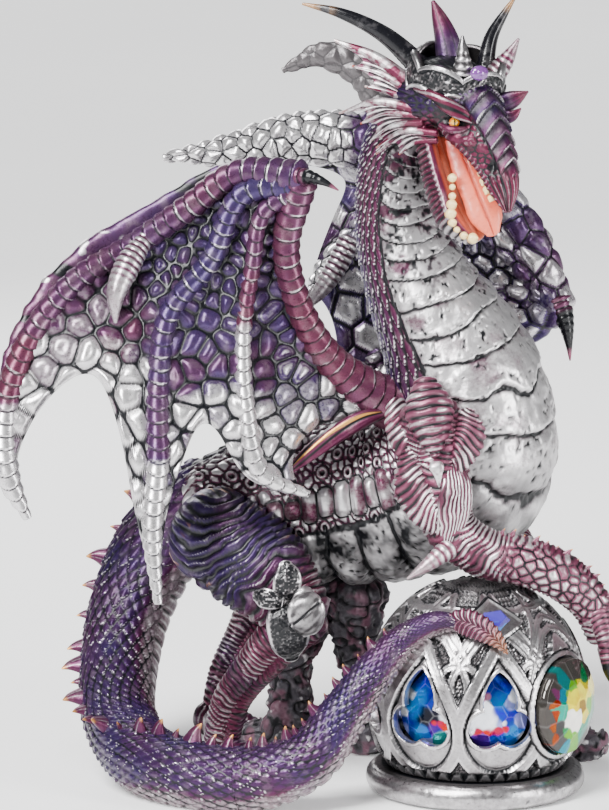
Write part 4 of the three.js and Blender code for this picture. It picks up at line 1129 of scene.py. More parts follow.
def shoulder():
    """A ribbed spearhead between two ribbed leaves, above the lobes of the upper arm."""
    left_leaf = [(-29, 3, 140, 2.5), (-27, -2, 133, 5.2), (-24, -6, 125, 4.6), (-19, -9, 118, 1.2)]
    right_leaf = [(-4, -6, 138, 2.5), (-3, -9, 131, 5.0), (-5, -11.5, 124, 4.0), (-9, -13.5, 117, 1.0)]
    spearhead = [(-18.5, -5, 148, 4), (-17.5, -8.5, 141, 7.8), (-16.5, -12, 133, 6.4), (-15, -15, 124, 0.9)]
    back_lobe = [(-22, -8, 123, 4.5), (-22.5, -10.5, 114, 6.6), (-19, -12.5, 105, 6.2), (-12, -14, 97, 3)]
    parts = []
    for spine, pitch, slant, tint in (
        (left_leaf, 3.0, -0.7, 0.6), (right_leaf, 2.6, 1.0, 0.6),
        (spearhead, 3.2, 0.0, 0.7), (back_lobe, 2.4, -1.2, 0.45),
    ):
        leaf = skin(spine, (0, -1, 0.1), step=0.4, around=72, ends=(0.7, 0.5), girth=flatten(0.6))
        sinew(leaf, pitch, slant=slant, lift=0.9, silver=1.0, tint=tint, crease=0.26, wild=0.4)
        parts.append(leaf)
    lobe = skin([(-9, -11, 121, 2.2), (-8, -13.5, 113, 5.4), (-9, -14.5, 103, 5.6), (-10, -14.5, 94, 3.2)],
                (0.2, -1, 0.1), step=0.45, around=110, ends=(0.7, 0.6), girth=flatten(0.65))
    strands(lobe, 19.0)
    point = [
        (-15.2, -13.5, 122.5, 1.2), (-14.8, -15.2, 120.5, 2.7), (-14.2, -15.8, 117, 1.5),
        (-13.8, -16, 113, 0.3),
    ]
    diamond = skin(point, (0, -1, 0.1), step=0.35, around=36, ends=(0.4, 0.4), girth=flatten(0.42))
    diamond.silver = 0.75 + 0.4 * noise(diamond.points, 1.2, 3)
    diamond.wash = 0.5 * ease(noise(diamond.points, 1.0, 4), 0.2, 0.8)
    parts += [lobe, diamond]
    return parts


# ------------------------------------------------------------------ knee guard


def knee_guard():
    """Stippled shield, two leaves and a ringed disc over the near knee."""
    parts = []

    def leaf(spine, narrow=0.4, stipple=1.0, groove=0.0, dark=0.4):
        made = skin(spine, (0.1, -1, 0.1), step=0.25, around=110, ends=(0.8, 0.8), girth=flatten(narrow))
        a = np.radians(made.angle)
        across_it = np.abs(np.sin(a)) / np.sqrt((np.cos(a) / narrow) ** 2 + np.sin(a) ** 2)
        along_it = np.abs(2 * made.share - 1)
        edge = np.maximum(across_it, along_it**2)
        front = ease(np.cos(a), -0.1, 0.1)
        rim = ease(edge, 0.82, 0.89)
        grain = noise(made.points, 0.62, 31)
        streak = noise(made.points @ TURNED * np.array([1, 1, 0.3]), 1.1, 3)
        mark = made.points @ TURNED
        crease = groove * ease(np.abs(mark[..., 0] - mark[..., 0].mean()), 0.7, 0.2)
        made.height = (0.45 * rim + 0.2 * stipple * grain * (1 - rim) - 0.5 * crease) * front
        plain = (1 - stipple) * (0.45 + 0.5 * streak)
        made.silver = np.clip(0.9 * rim + 0.8 * stipple * ease(grain, 0.2, 0.6) + plain, 0, 1)
        made.wash = (1 - rim) * np.maximum(stipple * ease(grain, 0.45, -0.2), crease)
        made.wash = np.maximum(made.wash, 0.5 * (1 - rim) * (1 - stipple) * ease(streak, 0, -0.5))
        made.wash = np.maximum(made.wash, dark * (1 - rim))
        made.tint = 0.6 * (1 - rim)
        parts.append(made)

    shield = [
        (-68, -8, 70, 4.8), (-67.5, -11, 65, 7.2), (-67, -11.5, 59, 7.2), (-66.5, -11, 53.5, 5.6),
        (-66, -9.5, 50, 2.4),
    ]
    tall_leaf = [
        (-68.5, -10.5, 71.5, 2.8), (-67.8, -12.8, 76, 4.6), (-67.4, -12.5, 80.5, 4.4),
        (-68.2, -11, 84, 2.0),
    ]
    side_leaf = [
        (-69.5, -11.5, 71, 2.2), (-72.5, -12.8, 71.5, 3.1), (-76, -12, 72.2, 3.3),
        (-78.6, -10, 72.6, 1.6),
    ]
    disc = [
        (-61.8, -13, 74.5, 2.8), (-61, -15.5, 71, 5.8), (-60.8, -15.5, 66, 6.3),
        (-61.4, -14.5, 61.5, 4.6), (-62, -13, 59.6, 2.2),
    ]
    leaf(shield, dark=0.62)
    leaf(tall_leaf, 0.45, dark=0.3)
    leaf(side_leaf, 0.45, dark=0.3)
    leaf(disc, 0.4, 0.0, 1.0, 0.3)
    build("knee_guard_shield", parts, ["knee_guard"], pewter, "antique_silver")


# A frame turned in the picture plane, for marks that run from low left to high right.
TURNED = np.array([[0.64, 0.0, 0.77], [0.0, 1.0, 0.0], [-0.77, 0.0, 0.64]])


# ------------------------------------------------------------------ rock


def rock():
    """Rough dark rock in ledges behind the ball."""
    masses = (
        [(-67, 56, 4, 12), (-67, 55, 16, 8.5), (-66, 54, 34, 8.5), (-63, 52, 50, 11), (-58, 50, 73, 15)],
        [
            (-64, 60, 3, 9), (-46, 62, 4, 11), (-25, 64, 8, 15), (10, 60, 7, 14), (36, 44, 6, 9),
            (46, 36, 7, 5),
        ],
        [(-38, 52, 6, 11), (-39, 50, 28, 8), (-42, 47, 46, 9), (-42, 46, 62, 12)],
        [(-84, 62, 1, 6), (-70, 60, 3, 10)],
    )
    parts = []
    for n, spine in enumerate(masses):
        grid = skin(spine, (0, -1, 0), step=0.5, around=150, ends=(0.6, 0.6))
        lump = noise(grid.points, 11, n) + 0.6 * noise(grid.points, 5, n + 9)
        lump = lump + 0.35 * noise(grid.points, 2.2, n + 5)
        ledge = np.abs(noise(grid.points * np.array([1, 1, 1.6]), 7, n + 20))
        pitted = noise(grid.points, 3.2, n + 60) + 0.6 * noise(grid.points, 1.4, n + 61)
        grid.height = 1.2 * lump - 1.3 * ease(ledge, 0.16, 0.0) + 0.8 * pitted
        grid.tint = ease(noise(grid.points, 3, n + 2), -0.1, 0.6)
        grain = noise(grid.points, 1.7, n + 40)
        grid.silver = 0.65 * ease(pitted + 0.4 * grain, 0.35, 1.1)
        grid.height = grid.height + 0.35 * grain
        grid.wash = np.maximum(0.85 * ease(ledge, 0.12, 0.02), 0.8 * ease(pitted, -0.25, -0.8))
        places = surface(grid)
        places[..., 2] = np.maximum(places[..., 2], TABLE)
        grid.points, grid.height = places, grid.height * 0
        parts.append(grid)
    build("rock_base_mass", parts, ["rock_base"], rock_paint, "dark_rock")


# ------------------------------------------------------------------ crystal ball

ORB = SimpleNamespace(radius=39.0, half=42.0, mid=35.0, floor=9.7, wall=3.0)
ARCH_MID = 34.0  # height of the middle of each arch
KITE_MID = 65.5  # height of the middle of the kite stone's setting
GEM_HOLE = 17.4  # radius of the opening for the round stone
CUT_FROM, CUT_TO = 20, 46  # how far from the axis the openings' cutters reach
BAYS, FIRST_BAY, GEM_BAY = 8, 11.5, 1
PITCH = 360 / BAYS
# How far each arch reaches to each side of its middle, in degrees, by height.
ARCH_HEIGHTS = (11.0, 12.5, 15, 19, 24, 29, 34, 40, 46, 52, 56, 58.5)
ARCH_SPREAD = (0, 9.0, 14.5, 19.3, 22.3, 22.8, 21.3, 17.6, 13.0, 7.6, 3.4, 0)
# Strap-work between two arches: across (degrees from the joint) and height.
STRAPS = (
    ((0, 38.5), (3.4, 41.5), (4.6, 45), (3.2, 48.8), (-0.4, 52.5), (-5.5, 56.5), (-12, 60.5), (-22.5, 62.5)),
    ((0.8, 51.8), (4.5, 52.0), (8.4, 50.6), (10.5, 48.8)),
    ((-22.5, 66.0), (-14, 64.5), (-6, 60.8), (0, 57.0), (4, 54.0)),
    ((-22.5, 69.0), (-11, 69.3), (0, 68.8)),
    ((0, 57.5), (-7, 63.5), (-13, 69.5), (-18, 73.0)),
)


def girth_at(z):
    """Radius of the ball's outer surface at a height."""
    return ORB.radius * np.sqrt(np.clip(1 - ((z - ORB.mid) / ORB.half) ** 2, 0, 1))


def bay_vector(bay):
    """The direction from the ball's axis through the middle of a bay."""
    turn = math.radians(FIRST_BAY + PITCH * bay)
    return np.array([math.sin(turn), -math.cos(turn), 0.0])


def trefoil(x, z):
    """Signed distance to the opening of an arch: two round lobes under a pointed one."""
    lobes = [(-4.7, -4.0, 6.7), (4.7, -4.0, 6.7)]
    for t in np.linspace(0, 1, 14):
        lobes.append((0, 5.4 + 10.8 * t, 6.0 * (1 - t**1.6) + 0.2))
    return np.min([np.hypot(x - lx, z - ARCH_MID - lz) - r for lx, lz, r in lobes], axis=0)


def arch_distance(aside, z, rho):
    """Signed distance to an arch's band, from degrees aside of its middle, a height and
    the ball's radius there."""
    spread = np.interp(z, ARCH_HEIGHTS, ARCH_SPREAD, left=0, right=0)
    inside = (aside < spread) & (z > ARCH_HEIGHTS[0]) & (z < ARCH_HEIGHTS[-1])
    outline = sample([(s, h, 0) for s, h in zip(ARCH_SPREAD, ARCH_HEIGHTS)], 0.8)[:, :2]
    gap = distance_to_spots(aside, z, rho, outline)
    return np.where(inside, -gap, gap)


def strap_distance(joint, z, rho):
    """Distance to the nearest strap, from degrees off the joint of two arches and a height."""
    gap = np.full(z.shape, FAR_OFF)
    for line in STRAPS:
        for side in (1, -1):
            path = sample([(side * sx, sz, 0) for sx, sz in line], 0.5)[:, :2]
            gap = np.minimum(gap, distance_to_spots(joint, z, rho, path))
    return gap


def distance_to_spots(degrees, z, rho, spots):
    """Distance over the ball's surface to the nearest spot (degrees, height)."""
    gap = np.full(z.shape, FAR_OFF)
    for spot_x, spot_z in spots:
        gap = np.minimum(gap, np.hypot((degrees - spot_x) * DEGREE * rho, z - spot_z))
    return gap


FAR_OFF = 1e9
DEGREE = math.pi / 180


def orb_pattern(azimuth, z):
    """Relief and paint of the openwork shell at azimuths (degrees) and heights."""
    rho = np.maximum(girth_at(z), 6.0)
    bay = np.floor((azimuth - FIRST_BAY) / PITCH + 0.5)
    away = azimuth - FIRST_BAY - bay * PITCH
    joint = (away + PITCH) % PITCH - PITCH / 2
    x = away * DEGREE * rho
    arch = arch_distance(np.abs(away), z, rho)
    # Ground of tiny round beads.
    pitch = 1.55
    lane = np.floor(z / (pitch * 0.87))
    bead_x = (azimuth * DEGREE * rho / pitch + 0.5 * (lane % 2)) % 1 - 0.5
    bead_z = (z / (pitch * 0.87)) % 1 - 0.5
    bead = np.sqrt(np.clip(1 - (np.hypot(bead_x, bead_z * 0.87) / 0.42) ** 2, 0, 1))
    height = -1.0 + 0.62 * bead
    silver = 0.75 * ease(bead, 0.55, 1)
    wash = ease(bead, 0.4, 0.0)
    # Strap-work, each strap with a raised edge on both sides.
    strap = strap_distance(joint, z, rho)
    half = 1.35
    on_strap = ease(strap, half + 0.25, half - 0.25)
    rib = 0.55 + 0.25 * ease(strap, 0.3, 0.9)
    height = toward(height, rib, on_strap)
    silver = np.where(on_strap > 0.5, 0.55 + 0.45 * ease(strap, half - 1.1, half - 0.4), silver)
    wash = np.where(on_strap > 0.5, 0.25 * ease(strap, 0.5, 0.0), wash)
    wash = np.maximum(wash, ease(np.abs(strap - half - 0.35), 0.5, 0.1))
    # Inside an arch: a dark groove, then the rim of the opening.
    opening = trefoil(x, z)
    inner = ease(arch, -1.4, -2.0)
    rim = ease(np.abs(opening - 0.7), 0.95, 0.5)
    panel_height = -0.75 + 0.9 * rim + 0.25 * ease(arch, -3.2, -3.8)
    height = toward(height, panel_height, inner)
    silver = toward(silver, 0.6 + 0.4 * rim, inner)
    groove = ease(np.abs(arch + 2.6), 0.7, 0.3)
    wash = toward(wash, 0.9 * groove, inner)
    # The arch band itself, crossing its neighbours.
    band = ease(np.abs(arch), 2.3, 1.95)
    top = 1.05 + 0.2 * ease(np.abs(arch), 1.1, 1.7)
    height = toward(height, top, band)
    silver = toward(silver, 0.62 + 0.38 * ease(np.abs(arch), 1.1, 1.7), band)
    wash = wash * (1 - band)
    wash = np.maximum(wash, ease(np.abs(np.abs(arch) - 2.55), 0.45, 0.1) * 0.95)
    # Scalloped frieze over the foot.
    frieze = ease(z, 14.2, 12.2)
    scallop = np.abs(np.sin(azimuth * DEGREE * 20))
    lobe = ease(z, 9.9 + 3.4 * scallop, 9.2 + 3.4 * scallop)
    height = toward(height, -0.6 + 1.2 * lobe, frieze)
    silver = toward(silver, 0.45 * ease(lobe, 0.2, 0.7), frieze)
    wash = toward(wash, 0.55 + 0.4 * (1 - lobe), frieze)
    # The round stone's bezel.
    turn = (azimuth - FIRST_BAY - PITCH * GEM_BAY + 180) % 360 - 180
    ray = np.hypot(rho * np.sin(turn * DEGREE), z - ORB.mid)
    near_gem = np.abs(turn) < 50
    seat = np.where(near_gem, ease(ray, 19.9, 19.4), 0)
    bezel = ease(np.abs(ray - 18.4), 1.3, 0.8)
    height = toward(height, -1.0 + 1.9 * bezel, seat)
    silver = toward(silver, 0.75 * bezel, seat)
    wash = toward(wash, (1 - bezel) * 0.8, seat)
    wash = np.maximum(wash, np.where(near_gem, ease(np.abs(ray - 19.8), 0.6, 0.15), 0))
    # Kite-shaped setting round the shoulder stone.
    turn = (azimuth - FIRST_BAY + 180) % 360 - 180
    kx, kz = turn * DEGREE * rho, z - KITE_MID
    kite = np.abs(kx) / 11.5 + np.abs(kz) / np.where(kz > 0, 7.5, 5.6)
    kite = np.where(np.abs(turn) < 60, kite, 9)
    plate = ease(kite, 1.04, 0.98)
    height = toward(height, 0.9 + 0.3 * ease(kite, 0.8, 0.95), plate)
    silver = toward(silver, 0.35 + 0.55 * ease(kite, 0.84, 0.95), plate)
    wash = wash * (1 - plate)
    wash = np.maximum(wash, ease(np.abs(kite - 1.08), 0.07, 0.02))
    return height, silver, wash


def revolved(rho, up, turn):
    """Rings of points about the axis, a ring for each radius rho and height up."""
    rho, up = rho[:, None], up[:, None]
    return np.stack([rho * np.sin(turn), -rho * np.cos(turn), up + 0 * turn], -1)


def orb_dome():
    """The openwork shell: relief outside, plain inside, cut through at the arches."""
    around, rise = 560, 190
    tilt = np.linspace(math.asin((ORB.floor - ORB.mid) / ORB.half), math.pi / 2 * 0.985, rise)
    azimuth = np.linspace(0, 360, around, endpoint=False)
    z_out = ORB.mid + ORB.half * np.sin(tilt)
    azimuths, heights = np.meshgrid(azimuth, z_out)
    relief = orb_pattern(azimuths, heights)[0]

    def shell(grow, tilts):
        rho = (ORB.radius + grow) * np.cos(tilts)
        up = ORB.mid + (ORB.half + grow) * np.sin(tilts)
        return revolved(rho, up, np.radians(azimuth)[None])

    outer = shell(0, tilt)
    normal = unit(outer * np.array([1, 1, (ORB.radius / ORB.half) ** 2])
                  - np.array([0, 0, ORB.mid * (ORB.radius / ORB.half) ** 2]))
    fade = ease(np.arange(rise), -1, 2)[:, None] * ease(np.arange(rise), rise, rise - 6)[:, None]
    outer = outer + normal * (relief * fade)[..., None]
    floor_tilt = math.asin((ORB.floor - ORB.mid) / (ORB.half - ORB.wall))
    inner = shell(-ORB.wall, np.linspace(math.pi / 2 * 0.97, floor_tilt, 24))
    inner[..., 2] = np.maximum(inner[..., 2], ORB.floor)
    grid = SimpleNamespace(close="ring", cap=1.0, points=np.concatenate([outer, inner]))
    grid.out = grid.points * 0
    clear_paint(grid)
    made = build("orb_dome_openwork", [grid], ["orb_dome"], pewter, "antique_silver")
    cutters = [arch_cutter(bay) for bay in range(BAYS) if bay != GEM_BAY]
    cutters.append(round_cutter())
    for cutter in cutters:
        cut = made.modifiers.new("cut", "BOOLEAN")
        cut.operation = "DIFFERENCE"
        cut.solver = "MANIFOLD"
        cut.object = cutter
    graph = bpy.context.evaluated_depsgraph_get()
    finished = bpy.data.meshes.new_from_object(made.evaluated_get(graph))
    made.modifiers.clear()
    made.data = finished
    for cutter in cutters:
        bpy.data.objects.remove(cutter)
    paint_orb(finished)


def paint_orb(mesh):
    """Paints the shell once its openings are cut: pattern outside, plain on cut walls."""
    count = len(mesh.vertices)
    places = np.zeros(count * 3, np.float32)
    mesh.vertices.foreach_get("co", places)
    places = places.reshape(-1, 3).astype(float) / MM
    azimuth = np.degrees(np.arctan2(places[:, 0], -places[:, 1])) % 360
    z = places[:, 2]
    relief, silver, wash = orb_pattern(azimuth, z)
    depth = girth_at(z) + relief - np.hypot(places[:, 0], places[:, 1])
    wall = ease(depth, 0.7, 1.1)
    paint = np.zeros((count, 4))
    paint[:, 0] = 0.35 * (1 + noise(places, 9, 40)) * 0.5
    paint[:, 1] = silver * (1 - wall) + 0.5 * wall
    paint[:, 2] = wash * (1 - wall) + 0.35 * wall
    if "paint" in mesh.attributes:
        mesh.attributes.remove(mesh.attributes["paint"])
    paint_mesh(mesh, np.clip(paint, 0, 1))
    mesh.set_sharp_from_angle(angle=math.radians(50))


def prism(name, outline, bay, mid=ARCH_MID):
    """A closed prism along a bay's direction, to cut an opening with."""
    ahead = bay_vector(bay)
    side = np.array([-ahead[1], ahead[0], 0.0])
    count = len(outline)
    points = []
    for reach in (CUT_FROM, CUT_TO):
        for x, z in outline:
            points.append(ahead * reach + side * x + np.array([0, 0, mid + z]))
    faces = [tuple(range(count)), tuple(range(count, 2 * count))[::-1]]
    for i in range(count):
        j = (i + 1) % count
        faces.append((j, i, count + i, count + j))
    mesh = bpy.data.meshes.new(name)
    mesh.from_pydata([tuple(p * MM) for p in points], [], faces)
    made = added(name, mesh)
    made.hide_render = True
    return made


def trefoil_outline(count=120):
    """Points round the opening of an arch, about its middle."""
    outline = []
    reach = np.linspace(0, 22, 1200)
    for a in np.linspace(0, 2 * math.pi, count, endpoint=False):
        x, z = reach * math.sin(a), reach * math.cos(a)
        within = trefoil(x, ARCH_MID + z) < 0
        stop = reach[np.argmin(within)] if not within.all() else reach[-1]
        outline.append((stop * math.sin(a), stop * math.cos(a)))
    return outline


def arch_cutter(bay):
    """Cuts the opening of one arch."""
    return prism(f"cutter_{bay}", trefoil_outline(), bay)


def round_cutter():
    """Cuts the opening for the round stone."""
    turns = np.linspace(0, 2 * math.pi, 72, endpoint=False)
    outline = [(GEM_HOLE * math.sin(a), GEM_HOLE * math.cos(a)) for a in turns]
    return prism("cutter_round", outline, GEM_BAY, ORB.mid)


def foot_ring():
    """The fat smooth foot, worn bright on its bulge, with painted shade where it runs in under the dome and
    along the floor, and pitted.
    """
    _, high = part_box("orb_foot_ring")
    outer, top = high.x / MM, high.z / MM
    tube = top / 2
    bore = 22.8
    profile = []
    for a in np.linspace(-90, 90, 34):
        turn = math.radians(a)
        profile.append((outer - tube + tube * math.cos(turn), tube + tube * math.sin(turn)))
    profile += [
        (outer - tube - 5, top), (bore + 1, top), (bore, top - 0.8), (bore, 2.9), (27.4, 2.7),
        (27.5, 0.2), (28.3, 0.0),
    ]
    rings, around = sample([(r, z, 0) for r, z in profile], 0.7)[:, :2], 330
    turn = np.linspace(0, 2 * math.pi, around, endpoint=False)[:, None]
    points = np.stack(
        [rings[:, 0] * np.sin(turn), -rings[:, 0] * np.cos(turn), rings[:, 1] + 0 * turn], -1,
    )
    grid = SimpleNamespace(close="ring", cap=1.0, points=points)
    heading = turn[:, 0]
    middle = np.stack(
        [(outer - tube) * np.sin(heading), -(outer - tube) * np.cos(heading), tube + 0 * heading], -1,
    )
    grid.out = unit(points - middle[:, None])
    clear_paint(grid)
    outside = ease(np.hypot(points[..., 0], points[..., 1]), outer - tube - 0.5, outer - tube + 2)
    dent = noise(points, 3.0, 51) + 0.5 * noise(points, 1.2, 52)
    pock = ease(dent, 0.75, 1.1)
    grid.height = outside * (0.12 * noise(points, 9, 53) - 0.35 * pock)
    reach = np.hypot(points[..., 0], points[..., 1])
    # Painted shade along the floor: darker wash and tint at the bottom of the ring.
    under = ease(points[..., 2], 1.6, 0.2)
    grid.silver = outside * (0.62 + 0.12 * noise(points, 1.6, 54) + 0.10 * noise(points, 6, 55))
    shade = 0.9 * ease(reach, outer - tube + 0.3, outer - tube - 1.6)
    grid.wash = np.maximum(np.maximum(0.6 * pock, shade), 0.5 * under)
    grid.tint = 0.10 + 0.3 * under
    build("foot_ring_cast", [grid], ["orb_foot_ring"], pewter, "antique_silver")


# ------------------------------------------------------------------ stones


def mirror_stone(name, streak=0.35):
    """Clear stone over a coloured mirror coat, seen as soft bands of colour that are partly painted
    reflections.
    """
    r = Recipe(name)
    layers = r.node("ShaderNodeAttribute", attribute_name="paint")
    cloud = r.noise(260.0, 3.0)
    hue = r.math("ADD", 0.5, r.math("MULTIPLY", r.math("SUBTRACT", cloud, 0.5), 0.10))
    value = r.math("ADD", 1.0 - streak, r.math("MULTIPLY", cloud, 2 * streak))
    shift = r.node(
        "ShaderNodeHueSaturation",
        {"Hue": hue, "Saturation": 1.15, "Value": value, "Color": layers.outputs["Color"]},
    )
    return r.finish(
        Base_Color=shift.outputs["Color"], Roughness=0.04, Metallic=0.6, Specular_IOR_Level=0.4,
    )


def faceted(name, nodes, slot, material, bay, mid, outline, base, top, fall, centres, hue):
    """A stone with a polished, faceted dome. The dome's height is the lowest of the
    planes that touch a paraboloid at the facet centres, so each centre owns a facet."""
    ahead = bay_vector(bay)
    side = np.array([-ahead[1], ahead[0], 0.0])
    up = np.array([0, 0, 1.0])
    turn = np.linspace(0, 2 * math.pi, 150, endpoint=False)
    edge_x, edge_z = outline(turn)
    share = np.concatenate([[0.02, 0.5, 0.96, 1.0], np.linspace(1.0, 0.004, 64)])[:, None]
    x, z = share * edge_x, share * edge_z
    planes = top - fall * (centres**2).sum(1) - 2 * fall * (
        (x[..., None] - centres[:, 0]) * centres[:, 0] + (z[..., None] - centres[:, 1]) * centres[:, 1]
    )
    ordered = np.sort(planes, axis=-1)
    ridge = ease(ordered[..., 1] - ordered[..., 0], 0.10, 0.02)
    reach = np.maximum(ordered[..., 0], base + 0.6)
    reach[:3] = base
    reach[3] = base + 0.3
    grid = SimpleNamespace(close="poles", cap=1.0)
    grid.points = ahead * reach[..., None] + side * x[..., None] + up * (mid + z)[..., None]
    grid.out = grid.points * 0
    clear_paint(grid)
    facet = centres[planes.argmin(-1)]
    colour = hue(x + BEND * facet[..., 0], z + BEND * facet[..., 1])
    # Painted highlight: each facet's edge is lightened a little.
    colour = colour + (1 - colour) * (0.06 * ridge)[..., None]
    grid.tint, grid.silver, grid.wash = colour[..., 0], colour[..., 1], colour[..., 2]
    return build(name, [grid], nodes, material, slot)


# How far a facet shifts the colours seen through it, as a share of its own offset.
BEND = 0.12


def drop_outline(turn):
    """Pointed drop, as tall as the CAD crystal."""
    peak = np.clip(np.cos(turn), 0, 1) ** 5
    across_it = 11.2 * np.sin(turn) * (1 - 0.25 * np.clip(np.cos(turn), 0, 1))
    return across_it, 12.8 * np.cos(turn) + 2.4 * peak - 0.6


def patches(x, z, spots, ragged=1.3, crisp=9.0):
    """Colour of the spots each place is near, the more crisp the harder their edges;
    spots are (x, z, size, colour)."""
    flat = np.stack([x, z, 0 * x], -1)
    px = x + ragged * noise(flat, 3.1, 5)
    pz = z + ragged * noise(flat, 3.1, 6)
    gap = np.stack([np.hypot(px - sx, pz - sz) / size for sx, sz, size, _ in spots], -1)
    hues = np.array([colour for _, _, _, colour in spots])
    share = np.exp(-crisp * (gap**2 - gap.min(-1, keepdims=True) ** 2))
    return (share / share.sum(-1, keepdims=True)) @ hues


# Patch colours for the stones: partly the mirror coat's own colours, partly painted reflections; the white
# patches are painted glints.
NAVY, SEA, VIOLET, BLACK = (0.004, 0.018, 0.24), (0.0, 0.12, 0.42), (0.05, 0.010, 0.20), (0.001, 0.001, 0.006)
INDIGO, PALE_ROSE = (0.03, 0.05, 0.34), (0.50, 0.22, 0.34)
GLINT_WHITE, RED, TEAL, MIST = (0.85, 0.88, 0.95), (0.42, 0.012, 0.03), (0.0, 0.16, 0.16), (0.28, 0.30, 0.60)
DEEP_BLUE = (
    (1, 11, 4.5, INDIGO), (-2, 6, 4, SEA), (3, 6, 4, NAVY), (-5, 0.5, 4, SEA), (1, -2, 4.5, BLACK),
    (-7, -5, 4, NAVY), (5, 0.5, 2.6, BLACK), (-2, -8, 3.4, SEA), (4, -6, 3.0, VIOLET),
    (6.5, -9, 2.8, TEAL), (8, -4.2, 1.5, RED), (5, -3.6, 1.2, RED), (-10, -1, 2.2, GLINT_WHITE),
    (-6, 7, 1.8, GLINT_WHITE), (8.5, 0.5, 2.0, GLINT_WHITE), (10, -7, 1.5, GLINT_WHITE), (0, -11.5, 2.0, MIST),
    (-10, -7, 2.0, MIST),
)
SPLIT_BLUE = (
    (-0.5, 11, 3.5, INDIGO), (0.5, 6, 3.6, SEA), (1.5, 1, 3.4, INDIGO), (4.5, 4.5, 2.4, MIST),
    (5, -1, 3.2, NAVY), (-6, 1, 4.4, GLINT_WHITE), (-4, -2.6, 3.2, GLINT_WHITE), (0.6, -3, 1.6, MIST),
    (3.4, -2.6, 1.2, GLINT_WHITE), (-7, -6.4, 1.7, RED), (-3.5, -6.2, 1.7, RED), (0, -6.0, 1.6, RED),
    (3.6, -5.4, 1.4, RED), (-6, -9.4, 2.6, VIOLET), (0, -10, 2.6, INDIGO), (7, -7.5, 3.4, SEA),
    (9.5, -2, 2.4, MIST), (10, -9, 2.0, GLINT_WHITE), (7, 7, 1.8, GLINT_WHITE), (-4.5, 8, 1.6, PALE_ROSE),
    (-9, 5, 2.0, PALE_ROSE),
)


def crystals():
    """The cut drops behind the arches, in two colour patterns, and the other stones."""
    coat = mirror_stone("mirror_blue_crystal")
    number = 0
    for bay in range(BAYS):
        if bay == GEM_BAY:
            continue
        number += 1
        random = np.random.default_rng(70 + bay)
        inner = np.linspace(0, 2 * math.pi, 6, endpoint=False)
        outer = np.linspace(0.26, 2 * math.pi + 0.26, 9, endpoint=False)
        ring = [(5.4 * math.sin(a), 6.4 * math.cos(a)) for a in inner]
        rim = [(10.0 * math.sin(a), 12.0 * math.cos(a)) for a in outer]
        centres = np.array([(0, 0)] + ring + rim) + random.uniform(-0.8, 0.8, (16, 2))
        spots = DEEP_BLUE if bay % 2 else SPLIT_BLUE

        def hue(x, z, spots=spots):
            return patches(x, z, spots, 0.8, 3.5)

        faceted(f"arch_crystal_{number}_cut", [f"arch_crystal_{number}"], "blue_crystal", coat, bay,
                ARCH_MID, drop_outline, base=27.0, top=34.6, fall=0.018, centres=centres, hue=hue)
    rainbow()
    shoulder_stone()


PLUM = (0.16, 0.05, 0.12)
AMBER_GREY, OIL, MINT = (0.055, 0.050, 0.046), (0.26, 0.045, 0.015), (0.02, 0.28, 0.19)
LIME, LEMON, CREAM = (0.14, 0.36, 0.05), (0.72, 0.60, 0.0), (0.95, 0.93, 0.86)
LAKE, SMOKE, FERN, BROWN = (0.01, 0.20, 0.28), (0.045, 0.043, 0.043), (0.03, 0.20, 0.08), (0.24, 0.15, 0.03)
RAINBOW = (
    (-16.5, 6, 2.0, AMBER_GREY), (-16.5, -2, 2.0, AMBER_GREY), (-16, -9, 2.4, AMBER_GREY),
    (-13, 11, 2.6, AMBER_GREY), (-14, 4, 1.7, OIL), (-14.2, -1, 1.7, OIL), (-14.4, -6, 1.7, OIL),
    (-13, -10, 1.8, OIL), (-13.5, 8, 1.5, PLUM), (-12.4, -5.5, 1.8, SMOKE), (-11.5, -9, 2.2, SMOKE),
    (-8.5, -13, 2.4, SMOKE), (-11.3, 2, 2.7, MINT), (-11, -1.8, 2.0, MINT), (-10, 6.5, 2.2, LAKE),
    (-8.5, 11, 3.0, TEAL), (-4, 14, 2.8, AMBER_GREY), (3, 15, 3.0, AMBER_GREY),
    (-8, 7.5, 1.8, LIME), (-4, 9.5, 2.6, LIME), (-5, 4.5, 4.4, LEMON), (1, 5.5, 3.6, LEMON),
    (-7, -4, 3.2, CREAM), (-3, -5.5, 3.6, CREAM), (1, 0.5, 2.2, BROWN), (4, -4, 3.0, LEMON),
    (-9.4, -8, 1.6, FERN), (-6.5, -10, 2.2, LIME), (-2, -12, 2.6, LIME), (2, -9, 2.4, MINT),
    (-6, -15, 2.2, LAKE), (6, 12, 2.6, FERN), (8, 6, 3.0, LEMON), (9, 0, 3.0, LIME),
    (8, -8, 3.0, MINT), (14, 6, 3.0, LEMON), (14, -4, 3.0, MINT), (12, 12, 3.0, AMBER_GREY),
    (12, -12, 3.0, AMBER_GREY),
)


def rainbow():
    """The large round stone with an iridescent back."""
    coat = mirror_stone("mirror_rainbow_crystal", streak=0.2)
    centres = [(0.0, 0.0)]
    for radius, count, twist in ((6.4, 6, 0.2), (12.6, 12, 0.0)):
        for a in np.linspace(0, 2 * math.pi, count, endpoint=False):
            centres.append((radius * math.cos(a + twist), radius * math.sin(a + twist)))

    def round_outline(turn):
        return GEM_RADIUS * np.sin(turn), GEM_RADIUS * np.cos(turn)

    def hue(x, z):
        return patches(x, z, RAINBOW, 1.0)

    faceted("round_gem_cut", ["round_gem"], "rainbow_crystal", coat, GEM_BAY, ORB.mid, round_outline,
            base=34.5, top=44.0, fall=0.017, centres=np.array(centres), hue=hue)


GEM_RADIUS = 17.0


